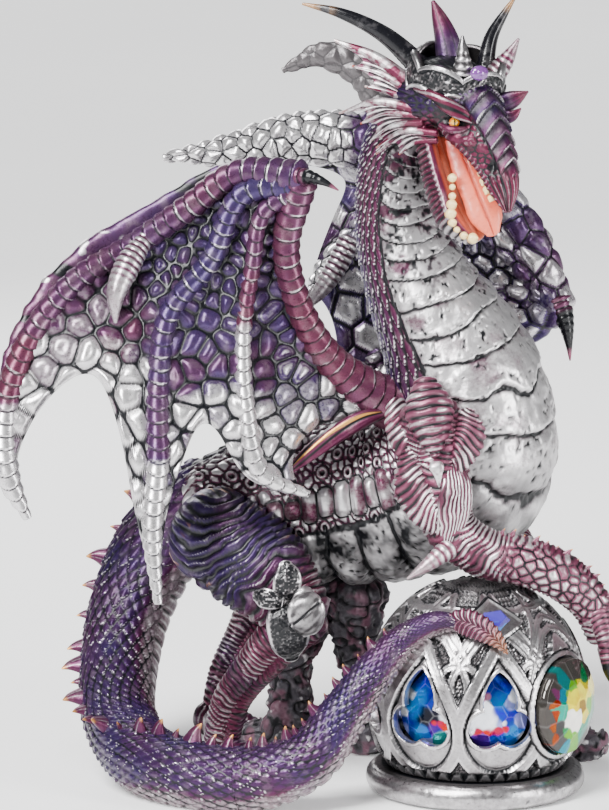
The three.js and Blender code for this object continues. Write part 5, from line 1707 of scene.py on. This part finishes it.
def shoulder_stone():
    """The kite-cut stone keeps its CAD facets and gets a two-tone mirror coat."""
    r = Recipe("mirror_shoulder_stone")
    place_xyz = r.node("ShaderNodeSeparateXYZ", {"Vector": r.place()})
    low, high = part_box("lozenge_gem")
    height = r.ramp(place_xyz.outputs["Z"], low.z, high.z)
    cut = r.node(
        "ShaderNodeTexVoronoi", {"Vector": r.place(), "Scale": 260.0},
        feature="F1", distance="CHEBYCHEV",
    )
    patch = r.node("ShaderNodeSeparateColor", {"Color": cut.outputs["Color"]})
    split = r.ramp(r.math("ADD", height, r.math("MULTIPLY", patch.outputs[0], 0.25)), 0.66, 0.74)
    colour = r.blend(split, (0.0, 0.14, 0.46, 1), (0.03, 0.012, 0.26, 1))
    colour = r.blend(r.math("MULTIPLY", patch.outputs[1], 0.2), colour, (0.20, 0.20, 0.60, 1))
    material = r.finish(Base_Color=colour, Roughness=0.06)
    dress("lozenge_gem", material)


def dress(node, material):
    """Gives a CAD node that stays its finished material."""
    mesh = NODES[node].data
    mesh.materials.clear()
    mesh.materials.append(material)


# ------------------------------------------------------------------ head

HEAD = [(-26, 14, 243, 9), (-18, 9, 248, 13.5), (-8, 2, 249, 14), (0, -7, 239, 10.2),
        (6, -13, 227, 6.8), (8.8, -17, 218, 4.6), (9.6, -18.5, 212, 1.3)]
BROW_SIDE = [(0.1, -0.3, 0.95), (0.2, -0.4, 0.9), (0.35, -0.5, 0.75), (0.5, -0.6, 0.6),
             (0.6, -0.6, 0.5), (0.65, -0.65, 0.4), (0.65, -0.7, 0.3)]


def dab(grid, x, z, wide, tall, height=0.0, **paint):
    """A soft mound or hollow where the front of a skin meets a place (x, z)."""
    px, pz = grid.points[..., 0] - x, grid.points[..., 2] - z
    shape = np.exp(-((px / wide) ** 2) - (pz / tall) ** 2) * (grid.out[..., 1] < 0.25)
    grid.height = grid.height + height * shape
    for key, value in paint.items():
        setattr(grid, key, toward(getattr(grid, key), value, ease(shape, 0.25, 0.7)))


def snout_girth(grid):
    """The upper jaw's section: a crest on top, flared lips and a hollow palate."""
    a = np.abs(grid.angle)
    jaws = ease(grid.share, 0.30, 0.5)
    crest = 0.10 * np.exp(-((a / 16) ** 2)) * jaws
    lips = 0.12 * np.exp(-(((a - 112) / 14) ** 2)) * jaws
    palate = 0.55 * ease(a, 122, 150) * jaws
    slim = 0.10 * np.exp(-(((a - 65) / 25) ** 2)) * jaws
    return 1 + crest + lips - palate - slim


def skull():
    """The head above the mouth: pimpled skin, nose plates, beak, lips and sockets."""
    grid = skin(HEAD, BROW_SIDE, step=0.42, around=260, ends=(0.4, 0.7), girth=snout_girth)
    a = np.abs(grid.angle)
    x, z = grid.points[..., 0], grid.points[..., 2]
    pimple = seeds((-42, 204), (22, 272), lambda u, v: 1.45, 7000, 14)
    coat = pebble_coat(x + grid.points[..., 1] * 0.5, z, pimple, lift=0.9, crease=0.3, bright_top=True)
    mix(grid, 1.0, layers_of(coat))
    patchy = noise(grid.points, 4.5, 71)
    upper = ease(z - 0.25 * x, 247, 251)
    grid.silver = grid.silver * (0.30 + 0.35 * patchy)
    grid.wash = np.maximum(grid.wash, 0.55 * ease(patchy, 0.05, -0.4))
    # Painted shade inside the crown's band: darker from its lower edge upwards.
    grid.wash = np.maximum(grid.wash, 0.8 * ease(z + 0.2 * x, 254, 257))
    grid.tint = 0.95 - 0.9 * upper
    # Overlapping plates down the ridge of the nose.
    count = grid.along / 4.6 - 0.75 * a / 40
    ridge = plate_coat(count, lift=1.7, rim=0.10)
    mask = ease(a, 50, 44) * ease(grid.share, 0.42, 0.47) * ease(grid.share, 0.93, 0.85)
    ridge["silver"] = ridge["silver"] * (0.42 + 0.5 * noise(grid.points, 3, 72))
    ridge["wash"] = np.maximum(ridge["wash"], 0.55 * ease(count - np.floor(count), 0.8, 0.2))
    mix(grid, mask, {**ridge, "tint": 0.15 + 0.6 * ease(grid.share, 0.55, 0.9) + 0.2 * patchy})
    # Smooth rosy beak and lips with a few folds.
    beak = ease(grid.share, 0.80, 0.88) * ease(a, 150, 140)
    folds = np.cos(2 * math.pi * (a / 24 + grid.share * 3))
    mix(grid, beak, {
        "height": 0.25 * folds + 0.2, "tint": 1.0, "silver": 0.42 * ease(folds, 0.2, 1),
        "wash": 0.8 * ease(folds, -0.3, -1),
    })
    lip = ease(np.abs(a - 112), 15, 9) * ease(grid.share, 0.42, 0.5)
    wrinkle = np.cos(2 * math.pi * grid.along / 2.2)
    mix(grid, lip, {
        "height": 0.45 + 0.15 * wrinkle, "tint": 0.95, "silver": 0.22 + 0.25 * wrinkle,
        "wash": 0.6 * ease(wrinkle, 0.0, -1),
    })
    grid.wash = np.maximum(grid.wash, 0.9 * ease(np.abs(a - 50), 5, 2) * ease(grid.share, 0.5, 0.6))
    grid.tip = np.where(a > 128, ease(grid.share, 0.35, 0.45), 0)
    # Eye socket, the bulges under it, and the nostril.
    dab(grid, EYE[0], EYE[2], 4.6, 3.0, -2.6, wash=0.98, silver=0.0)
    dab(grid, -8.0, 237.2, 2.6, 2.0, 1.7, tint=0.95, wash=0.0, silver=0.25)
    dab(grid, -3.4, 236.0, 2.8, 2.2, 1.9, tint=0.95, wash=0.0, silver=0.35)
    dab(grid, 1.0, 233.6, 2.0, 1.8, 1.2, tint=0.9, wash=0.0, silver=0.2)
    dab(grid, 4.0, 227.6, 1.3, 2.2, -1.3, wash=0.95)
    return grid


EYE = (-9.2, -11.2, 242.2)


def brow_ridge():
    """The fold over the near eye and its lower lid."""
    spine = [
        (-23, -2, 254, 1.2), (-17, -9, 252.3, 2.6), (-11, -12.6, 248.4, 3.0),
        (-5.5, -13.6, 244.6, 2.2), (-2, -13.5, 242, 0.8),
    ]
    brow = skin(spine, (0, -0.7, 0.7), step=0.35, around=48, ends=(0.5, 0.5), girth=flatten(0.75))
    fold = np.cos(np.radians(brow.angle * 3) + brow.along * 0.35)
    brow.height = 0.3 * fold
    brow.tint, brow.silver = 1.0 + 0 * fold, 0.5 * ease(fold, 0.4, 1)
    brow.wash = 0.8 * ease(fold, -0.1, -1)
    fold_line = [
        (-14, -11.0, 241.2, 0.8), (-10, -13.2, 239.6, 1.5), (-5.5, -13.2, 239.8, 1.2),
        (-3, -12.5, 241, 0.6),
    ]
    lid = skin(fold_line, (0, -0.7, -0.7), step=0.35, around=30, ends=(0.5, 0.5))
    lid.tint, lid.silver = lid.tint + 0.8, 0.35 * ease(np.cos(np.radians(lid.angle)), 0.2, 0.9)
    return [brow, lid]


def frill(ribs, scallops, name_seed):
    """A fan of ribs with a thin ribbed skin between them."""
    made = []
    for n, scallop in enumerate(scallops):
        grid = web(ribs[n], ribs[n + 1], scallop, 0.4, step=0.45, start=0.02)
        half = grid.points.shape[1] // 2
        u = np.linspace(0, 1, half)
        stripe = np.cos(2 * math.pi * 3 * np.concatenate([u, u[::-1]]))[None] + 0 * grid.edge
        grid.height = 0.22 * stripe
        # Painted shade near the roots, where the frill meets the head.
        root = ease(grid.edge, 0.35, 0.85)
        grime_and_shade = noise(grid.points, 2.2, 90)
        grid.silver = (0.34 + 0.36 * ease(stripe, 0, 1) + 0.3 * grime_and_shade) * (1 - 0.7 * root)
        grid.tint = 0.8 + 0.2 * root
        shade = 0.9 * ease(stripe + 0.6 * grime_and_shade, 0.3, -0.8) * ease(grid.edge, 0.0, 0.3)
        grid.wash = np.maximum(shade, 0.55 * root * ease(grime_and_shade, 0.4, -0.3))
        made.append(grid)
    for n, rib in enumerate(ribs):
        grid = skin(rib, (0, -1, 0), step=0.4, around=22, ends=(0.5, 0.6))
        worn = noise(grid.points, 3, name_seed + n) + 0.5 * noise(grid.points, 1.1, name_seed + n)
        # Painted shade: less silver near each rib's root, and a darker side turned from the front.
        grid.silver = 0.46 + 0.45 * worn - 0.4 * ease(grid.share, 0.35, 0.0)
        grid.tint = 1.0 + 0 * grid.silver
        grid.tip = 0.5 * ease(grid.share, 0.85, 1)
        grid.wash = 0.4 * ease(np.cos(np.radians(grid.angle)), -0.2, -0.8)
        made.append(grid)
    return made


UPPER_FRILL = (
    [(-22, 2, 253, 2.4), (-37, 8, 263, 2.1), (-51, 12, 268.5, 0.5)],
    [(-22, 1, 250, 1.6), (-35, 6, 257.5, 1.2), (-44.5, 10, 259.5, 0.4)],
    [(-22, 0, 247, 1.6), (-32, 5, 251, 1.2), (-40, 8, 252.5, 0.4)],
)
MIDDLE_FRILL = (
    [(-20, -3, 245, 1.8), (-36, 3, 247.5, 1.5), (-49, 8, 243, 0.4)],
    [(-20, -3, 243, 1.4), (-33, 2, 243.5, 1.1), (-41.5, 6, 239.5, 0.35)],
    [(-20, -4, 241, 1.4), (-31, 1, 239, 1.1), (-38, 5, 233.5, 0.35)],
    [(-19, -4, 239, 1.4), (-28, 0, 236, 1.2), (-36, 4, 229, 0.4)],
)
LOWER_FRILL = (
    [(-15, -6, 237.5, 1.4), (-26, -3, 238.0, 1.2), (-36, 2, 231.5, 0.4)],
    [(-15, -6, 235, 1.2), (-23, -4, 234, 1.0), (-28, -1, 229.5, 0.35)],
)


def horn(points, narrow=1.0, glossy=True, around=44):
    """A fluted horn with rings at its root, glossy black or painted like the scales."""
    grid = skin(points, (0.2, -1, 0), step=0.4, around=around, ends=(0.3, 0.6), girth=flatten(narrow))
    ring = np.cos(2 * math.pi * grid.along / 1.9) * ease(grid.share, 0.3, 0.05)
    flute = np.cos(np.radians(grid.angle * 7))
    grid.height = 0.10 * ring + 0.05 * flute * (1 - grid.share)
    if glossy:
        grid.silver = 0.16 * ease(flute, 0.6, 1) * ease(grid.share, 0.2, 0.5)
        grid.tip = 0.6 * ease(grid.share, 0.72, 0.95) * ease(noise(grid.points, 3, 2), -0.3, 0.3)
    else:
        grid.tint = 0.15 + 0.8 * ease(grid.share, 0.3, 0.8)
        grid.silver = 0.3 * ease(flute, 0.6, 1) * ease(grid.share, 0.7, 0.2)
        grid.wash = 0.6 * ease(flute, -0.5, -1)
    return grid


LEFT_HORN = [(-19, 9, 258, 4.4), (-34, 11, 271, 3), (-49, 13, 278, 1.9), (-62, 15, 281, 0.5)]
RIGHT_HORN = [(2, 6, 257, 3.4), (5, 9, 271, 2.4), (9, 10, 278, 1.5), (13, 11, 284, 0.5)]
CREST_HORN = [(-9, 8, 258, 5.5), (-11.5, 10, 270, 4.2), (-14, 12, 277, 2.6), (-16, 13, 282, 0.8)]
NAPE_FIN = [(-32, 22, 245, 7), (-42, 25, 257, 6), (-55, 27, 261.5, 4.5), (-69, 28, 256, 0.8)]


def lower_jaw():
    """A scoop with a raised rim, its inside left for the lining."""
    def scoop(grid):
        a = np.abs(grid.angle)
        return 1 - 0.72 * ease(a, 74, 52) + 0.10 * np.exp(-(((a - 84) / 9) ** 2))

    spine = [
        (-17, 4, 240, 6.5), (-14, 0, 229, 7.5), (-10, -4, 217, 8.6), (-5.5, -8.5, 207.5, 8.4),
        (-1.5, -11, 202, 4.5),
    ]
    grid = skin(spine, [(0.85, -0.5, 0.25)] * 3 + [(0.7, -0.5, 0.6), (0.6, -0.5, 0.75)],
                step=0.42, around=170, ends=(0.3, 0.5), girth=scoop)
    a = np.abs(grid.angle)
    wrinkle = np.cos(2 * math.pi * (grid.along / 2.1 + 0.2 * noise(grid.points, 4, 3)))
    grid.height = 0.35 * wrinkle * ease(a, 80, 95)
    grid.tint = 0.9 - 0.5 * ease(a, 120, 160)
    grid.silver = np.clip(0.10 + 0.3 * wrinkle, 0, 1) * ease(a, 80, 90) + 0.4 * ease(np.abs(a - 84), 7, 3)
    grid.silver = grid.silver + 0.5 * ease(grid.share, 0.7, 0.85) * ease(a, 84, 95)
    grid.wash = 0.9 * ease(wrinkle, 0.2, -1) * ease(a, 86, 95)
    grid.tip = ease(a, 74, 66)
    return grid


def mouth_lining():
    """Tongue and palate, in speckled coral."""
    spine = [
        (-8, -2, 235, 4.2), (-4.5, -6, 226, 5.4), (-0.5, -9.5, 216, 5.8), (3, -12.5, 207.5, 5.4),
        (4.6, -14, 203.5, 2.6),
    ]
    tongue = skin(spine, (0.1, -0.95, 0.2), step=0.4, around=110, ends=(0.5, 0.5), girth=flatten(0.34))
    groove = np.exp(-((tongue.angle / 16) ** 2))
    tongue.height = -0.7 * groove + 0.12 * noise(tongue.points, 1.5, 5)
    tongue.wash = 0.35 * groove + 0.15 * ease(noise(tongue.points, 1.0, 9), 0.4, 0.8)
    tongue.tint = 0.6 * ease(tongue.share, 0.5, 0.1) + 0.35 * groove
    palate = skin([(-10, 0, 238, 5.0), (-3, -6.5, 231, 6.0), (4, -12.5, 221, 4.4), (8, -16, 213.5, 1.2)],
                  (-0.5, -0.3, -0.8), step=0.45, around=70, ends=(0.5, 0.5), girth=flatten(0.45))
    ridge = np.cos(2 * math.pi * palate.along / 2.6)
    palate.height = 0.2 * ridge
    palate.tint, palate.wash = 0.3 + 0 * ridge, 0.3 * ease(ridge, -0.2, -1)
    return [tongue, palate]


def teeth():
    """Blunt yellow teeth along the near rim of each jaw."""
    lower = [
        (-9.6, -12.5, 224, 0), (-9.6, -14.5, 216, 0), (-9.8, -16.0, 208, 0), (-6.5, -17.6, 203.5, 0),
        (-1, -17.6, 201.5, 0),
    ]
    upper = [(-4.4, -12.6, 231, 0), (-1.0, -14.4, 226.4, 0), (2.4, -16.6, 219.5, 0), (4.6, -17.6, 214.5, 0)]
    made = []
    for line, count, size, lean in (
        (lower, 9, 1.9, (0.6, -0.7, 0.2)), (upper, 6, 1.6, (-0.3, -0.6, -0.7)),
    ):
        path = sample(line, 0.2)[:, :3]
        lean = unit(np.array(lean))
        for n in range(count):
            root = path[int((n + 0.5) / count * (len(path) - 1))]
            grow = size * (0.85 + 0.25 * math.sin(5 * n))
            spine = [
                (*(root - lean * grow * 0.6), grow * 0.85), (*(root + lean * grow * 0.3), grow * 0.95),
                (*(root + lean * grow), grow * 0.35),
            ]
            tooth = skin(spine, (0, -1, 0), step=0.25, around=20, ends=(0.6, 0.8))
            tooth.tint = ease(tooth.share, 0.3, 0.0)
            made.append(tooth)
    return made


def plain_paint(name, colour, second, rough=0.4, grain=700.0, coat=0.3):
    """Soft satin paint with a dark wash and painted shade in its folds, stippled with a second tone."""
    r = Recipe(name)
    tint, _, wash, _ = r.paint()
    speck = r.noise(grain, 3.0)
    tone = r.math("ADD", tint, r.math("MULTIPLY", r.ramp(speck, 0.5, 0.7), 0.3), clamp=True)
    mixed = r.blend(tone, colour, second)
    # Dark wash and painted shade in the folds.
    mixed = r.blend(wash, mixed, (0.10, 0.02, 0.02, 1))
    bump = r.bump(speck, 0.2, 0.0004)
    return r.finish(Base_Color=mixed, Roughness=rough, Normal=bump, Coat_Weight=coat, Coat_Roughness=0.2)


def eyeball(place_at, nodes):
    """Amber iris with a slit pupil that looks along the snout."""
    at = np.array(place_at, float)
    gaze = unit(np.array([0.15, -1, 0.0]))
    spine = [
        (*(at - gaze * 2.0), 1.2), (*(at - gaze * 1.0), 2.2), (*at, 2.55),
        (*(at + gaze * 1.0), 2.2), (*(at + gaze * 2.0), 1.1),
    ]
    grid = skin(spine, (0, 0, 1), step=0.12, around=64, ends=(0.25, 0.25))
    side = np.cross(gaze, np.array([0, 0, 1.0]))
    offset = grid.points - at
    u, v = offset @ side, offset[..., 2]
    facing = (offset @ gaze) > 0
    iris = ease(np.hypot(u, v), 1.9, 1.7) * facing
    pupil = ease(np.hypot(u / 0.34, v / 1.3), 1.05, 0.9) * facing
    grid.tint = ease(np.hypot(u, v), 0.7, 1.7)
    grid.silver = iris
    grid.wash = np.maximum(pupil, 1 - iris)
    return build(nodes[0] + "_ball", [grid], nodes, eye_paint(), "amber_eye")


def eye_paint():
    """Glossy amber, darker outwards, with a black pupil; made once for both eyes."""
    if "glossy_amber_eye" in bpy.data.materials:
        return bpy.data.materials["glossy_amber_eye"]
    r = Recipe("glossy_amber_eye")
    outward, _, pupil, _ = r.paint()
    fibre = r.noise(1800.0, 2.0)
    iris = r.blend(outward, (0.80, 0.40, 0.01, 1), (0.55, 0.05, 0.005, 1))
    iris = r.blend(r.math("MULTIPLY", fibre, 0.35), iris, (0.9, 0.65, 0.05, 1))
    colour = r.blend(pupil, iris, (0.004, 0.004, 0.004, 1))
    return r.finish(Base_Color=colour, Roughness=0.12, Coat_Weight=1.0, Coat_Roughness=0.03)


def crown():
    """Stippled diadem with rolled rims, pointed drops and a spike in front."""
    centre = np.array([-8.0, 3.0, 257.0])
    around, section = 300, 46
    turn = np.linspace(0, 2 * math.pi, around, endpoint=False)[:, None]
    drop = np.abs(np.cos(turn * 4)) ** 0.7
    low = -2.6 - 3.4 * (1 - drop)
    high = 3.8 + 3.4 * np.abs(np.sin(turn * 3 - 0.36)) ** 0.6
    v = np.concatenate([np.linspace(0, 1, section), np.linspace(1, 0, 12)])[None]
    outside = np.concatenate([np.ones(section), np.zeros(12)])[None]
    z = low + (high - low) * v
    flare = 1 + 0.06 * np.sin(math.pi * v)
    rx, ry = (16.6 - 0.14 * z) * flare, (15.2 - 0.14 * z) * flare
    inset = 1.3 * (1 - outside)
    local = np.stack([(rx - inset) * np.sin(turn), -(ry - inset) * np.cos(turn), z + 0 * turn], -1)
    tilt = Matrix.Rotation(math.radians(8), 3, "Y") @ Matrix.Rotation(math.radians(14), 3, "X")
    points = local @ np.array(tilt).T + centre
    grid = SimpleNamespace(close="ring", cap=1.0, points=points)
    grid.out = unit(np.stack([np.sin(turn) + 0 * z, -np.cos(turn) + 0 * z, 0 * z], -1)) @ np.array(tilt).T
    clear_paint(grid)
    edge = np.minimum(v, 1 - v) * (high - low)
    rim = ease(edge, 1.9, 1.2) * outside
    grain = noise(points, 0.7, 61)
    grid.height = (1.0 * rim + 0.25 * grain * (1 - rim)) * outside
    grid.silver = np.clip(rim * 0.9 + 0.7 * ease(grain, 0.25, 0.7), 0, 1) * outside
    grid.wash = ((1 - rim) * ease(grain, 0.35, -0.25) + ease(np.abs(edge - 2.1), 0.6, 0.1)) * outside
    grid.tint = 0.7 * (1 - rim)
    parts = [grid]
    spike = [
        (-6.0, -9.5, 259.5, 4.0), (-6.0, -10.0, 264.0, 2.7), (-6.2, -9.5, 268.5, 1.6),
        (-6.2, -8.5, 272.0, 0.5),
    ]
    parts.append(spur(spike, 0.85))
    build("crown_diadem", parts, ["crown_band"], pewter, "antique_silver")


def cabochon():
    """The violet stone on the diadem's front."""
    at = np.array([-0.4, -13.6, 259.6])
    gaze = unit(np.array([0.35, -0.9, 0.15]))
    spine = [(*(at - gaze * 1.4), 2.6), (*at, 3.4), (*(at + gaze * 1.3), 2.6), (*(at + gaze * 2.0), 1.2)]
    gem = skin(spine, (0, 0, 1), step=0.2, around=60, ends=(0.3, 0.3), girth=flatten(0.78))
    r = Recipe("violet_cabochon")
    cloud = r.noise(420.0, 2.0)
    colour = r.blend(cloud, (0.07, 0.012, 0.16, 1), (0.28, 0.09, 0.36, 1))
    material = r.finish(
        Base_Color=colour, Metallic=0.25, Roughness=0.08, Coat_Weight=1.0, Coat_Roughness=0.02,
    )
    build("crown_cabochon", [gem], ["crown_gem"], material, "violet_gem")


def head():
    """Everything on the head, with the nape fin and the crown."""
    parts = [skull()] + brow_ridge()
    for seed, ribs in enumerate((UPPER_FRILL, MIDDLE_FRILL, LOWER_FRILL)):
        parts += frill(ribs, (0.22,) * (len(ribs) - 1), 80 + 9 * seed)
    ear = [(7, -2, 247, 4), (12.5, -3, 249.5, 3), (17, -4, 252, 0.4)]
    under_ear = [(7, -3, 243, 3), (11.5, -4, 243.5, 2.2), (14.5, -4, 246, 0.4)]
    parts += [horn(ear, 0.6, False), horn(under_ear, 0.6, False)]
    parts.append(spur([(5, 4, 256, 4.2), (9.5, 5, 262, 3.0), (14, 6, 269.5, 0.5)], 0.7))
    build("head_skin", parts, ["head_casting"], head_paint, "purple_scale")
    build("lower_jaw_scoop", [lower_jaw()], ["lower_jaw"], head_paint, "rose_scale")
    coral = plain_paint("satin_coral", (0.74, 0.145, 0.075, 1), (0.40, 0.035, 0.03, 1), rough=0.5)
    build("mouth_lining", mouth_lining(), ["tongue"], coral, "coral_flesh")
    ivory = plain_paint("aged_ivory", (0.86, 0.66, 0.30, 1), (0.60, 0.32, 0.10, 1), rough=0.3)
    build("teeth_rows", teeth(), [], ivory, "coral_flesh")
    eyeball(EYE, ["near_eye"])
    eyeball((10.2, 1.0, 242.4), ["far_eye"])
    build("left_horn_black", [horn(LEFT_HORN)], ["left_horn"], horn_paint, "black_horn")
    build("right_horn_black", [horn(RIGHT_HORN)], ["right_horn"], horn_paint, "black_horn")
    build("crest_horn_fluted", [horn(CREST_HORN, 0.8, False)], ["crest_horn"], scale_paint, "purple_scale")
    fin = skin(NAPE_FIN, (0, -1, 0), step=0.45, around=90, ends=(0.5, 0.6), girth=flatten(0.4))
    spots = seeds((-75, 235), (-20, 270), lambda u, v: 4.2, 900, 44)
    coat = pebble_coat(fin.points[..., 0], fin.points[..., 2], spots, lift=0.8, crease=0.4)
    mix(fin, 1.0, layers_of(coat))
    fin.silver = 0.25 * fin.silver + 0.22 * ease(noise(fin.points, 6, 3), -0.2, 0.5)
    fin.wash = np.maximum(0.55 * fin.wash, 0.30)
    build("nape_fin_web", [fin], ["nape_fin"], pewter, "antique_silver")
    crown()
    cabochon()


head_paint = painted(
    "pearl_rose_head", (0.020, 0.008, 0.044, 1), (0.110, 0.014, 0.038, 1), (0.60, 0.15, 0.08, 1),
    grain=1100.0,
)


# ------------------------------------------------------------------ the LED unit


def moulded(name, colour, lighter, rough, grain=600.0, metal=0.0, coat=0.0, relief=0.08):
    """Moulded or pressed stock with a fine surface grain."""
    r = Recipe(name)
    fine = r.noise(grain, 4.0)
    broad = r.noise(90.0, 2.0)
    tone = r.math("ADD", r.math("MULTIPLY", fine, 0.5), r.math("MULTIPLY", broad, 0.5))
    mixed = r.blend(r.ramp(tone, 0.35, 0.65), colour, lighter)
    roughness = r.math("ADD", rough, r.math("MULTIPLY", r.math("SUBTRACT", broad, 0.5), 0.2))
    return r.finish(
        Base_Color=mixed, Roughness=roughness, Metallic=metal, Normal=r.bump(fine, relief, 0.0003),
        Coat_Weight=coat,
    )


def led_unit():
    """Plastics and metals for the CAD pieces of the lighting unit, which stay as they are."""
    black = moulded("textured_black_plastic", (0.012, 0.012, 0.013, 1), (0.03, 0.03, 0.032, 1), 0.5)
    knob = moulded("smooth_black_plastic", (0.01, 0.01, 0.011, 1), (0.02, 0.02, 0.021, 1), 0.3)
    nickel = moulded("nickelled_steel", (0.50, 0.49, 0.47, 1), (0.62, 0.61, 0.59, 1), 0.25, metal=1.0)
    cell = moulded("polished_cell_steel", (0.58, 0.58, 0.58, 1), (0.70, 0.70, 0.70, 1), 0.18, metal=1.0)
    milky = moulded("frosted_white_plastic", (0.80, 0.79, 0.75, 1), (0.88, 0.87, 0.84, 1), 0.45)
    lens = moulded("clear_led_epoxy", (0.75, 0.78, 0.80, 1), (0.85, 0.87, 0.88, 1), 0.1, coat=1.0)
    board = moulded("green_solder_mask", (0.01, 0.10, 0.03, 1), (0.015, 0.16, 0.05, 1), 0.35, coat=0.4)
    for node in ("base_cover", "battery_door", "battery_tray"):
        dress(node, black)
    dress("switch_knob", knob)
    for node in NODES:
        if "screw" in node or "contact" in node or "_pin" in node or node == "switch_body":
            dress(node, nickel)
        elif node.startswith("button_cell"):
            dress(node, cell)
        elif node.startswith("led_") and node != "led_board":
            dress(node, lens)
    dress("light_diffuser", milky)
    dress("led_board", board)


# ------------------------------------------------------------------ stage


def see_through_from_below(paper):
    """Lets a view from under the floor show the base cover and its battery door."""
    back = paper.node("ShaderNodeNewGeometry").outputs["Backfacing"]
    clear = paper.node("ShaderNodeBsdfTransparent")
    both = paper.node("ShaderNodeMixShader")
    paper.feed(both.inputs[0], back)
    links = paper.material.node_tree.links
    links.new(paper.shader.outputs[0], both.inputs[1])
    links.new(clear.outputs[0], both.inputs[2])
    sheet = next(n for n in paper.material.node_tree.nodes if n.type == "OUTPUT_MATERIAL")
    links.new(both.outputs[0], sheet.inputs["Surface"])


# The photograph's view: from a little above, and from far off for its flat perspective.
VIEW_TILT = 10  # degrees
VIEW_WIDTH = 219.24  # mm across the picture at the figurine
VIEW_X, VIEW_RISE = -61.4, 137.5  # mm from the origin to the picture's middle
VIEW_AHEAD = 1.9  # metres from the camera to that middle
SENSOR = 36


def view_camera():
    """The camera of the photograph's view."""
    tilt = math.radians(VIEW_TILT)
    middle = Vector((VIEW_X, VIEW_RISE * math.sin(tilt), VIEW_RISE * math.cos(tilt))) * MM
    look = Vector((0, math.cos(tilt), -math.sin(tilt)))
    lens = bpy.data.cameras.new("camera")
    lens.sensor_fit = "HORIZONTAL"
    lens.sensor_width = SENSOR
    lens.lens = SENSOR * VIEW_AHEAD / (VIEW_WIDTH * MM)
    camera = added("camera", lens)
    camera.location = middle - look * VIEW_AHEAD
    camera.rotation_euler = look.to_track_quat("-Z", "Y").to_euler()
    bpy.context.scene.camera = camera


def lights():
    """Three soft boxes, a wide soft sun and a pale world."""

    def softbox(name, place, size, power, aim=(-0.05, 0, 0.14)):
        light = bpy.data.lights.new(name, "AREA")
        light.shape = "RECTANGLE"
        light.size, light.size_y = size
        light.energy = power
        lamp = added(name, light)
        lamp.location = place
        lamp.rotation_euler = (Vector(aim) - Vector(place)).to_track_quat("-Z", "Y").to_euler()

    softbox("key", (-0.55, -0.75, 0.65), (0.25, 0.25), 12.5)
    softbox("fill", (0.75, -0.5, 0.30), (0.2, 0.6), 8)
    softbox("back", (-0.4, 0.9, 0.6), (0.5, 0.5), 6)
    sun = bpy.data.lights.new("sky", "SUN")
    sun.energy = 5.2
    sun.angle = math.radians(25)
    sky = added("sky", sun)
    sky.rotation_euler = Vector((0.35, 0.55, -0.9)).to_track_quat("-Z", "Y").to_euler()
    world = bpy.data.worlds.new("studio")
    world.use_nodes = True
    shade = world.node_tree.nodes["Background"]
    shade.inputs["Color"].default_value = (0.9, 0.92, 0.95, 1)
    shade.inputs["Strength"].default_value = 0.19
    bpy.context.scene.world = world


def floor_sheet():
    """A pale paper floor, so wide that its edge is out of sight."""
    mesh = bpy.data.meshes.new("floor")
    far = 40.0  # metres
    mesh.from_pydata([(-far, -far, 0), (far, -far, 0), (far, far, 0), (-far, far, 0)], [], [(0, 1, 2, 3)])
    floor = added("floor", mesh)
    paper = Recipe("pale_floor")
    tone = paper.blend(paper.ramp(paper.noise(3.0), 0.3, 0.7), (0.90, 0.90, 0.905, 1), (0.93, 0.93, 0.93, 1))
    sheet = paper.finish(Base_Color=tone, Roughness=0.9, Emission_Strength=0.26)
    see_through_from_below(paper)
    mesh.materials.append(sheet)


def ridge_and_torso():
    """The body's skin with the row of spikes down its back."""
    back = [tuple(-value for value in belly) for belly in BELLY]
    ridge = spikes(TORSO, back, 11, 6.5, 0.05, 0.95, wide=1.3)
    build("torso_skin", [torso()] + ridge, ["torso_casting"], scale_paint, "purple_scale")


ridge_and_torso()
tail()
hind_legs()
forelegs()
knee_guard()
rock()
head()
near_wing()
far_wing()
orb_dome()
foot_ring()
crystals()
led_unit()
view_camera()
lights()
floor_sheet()
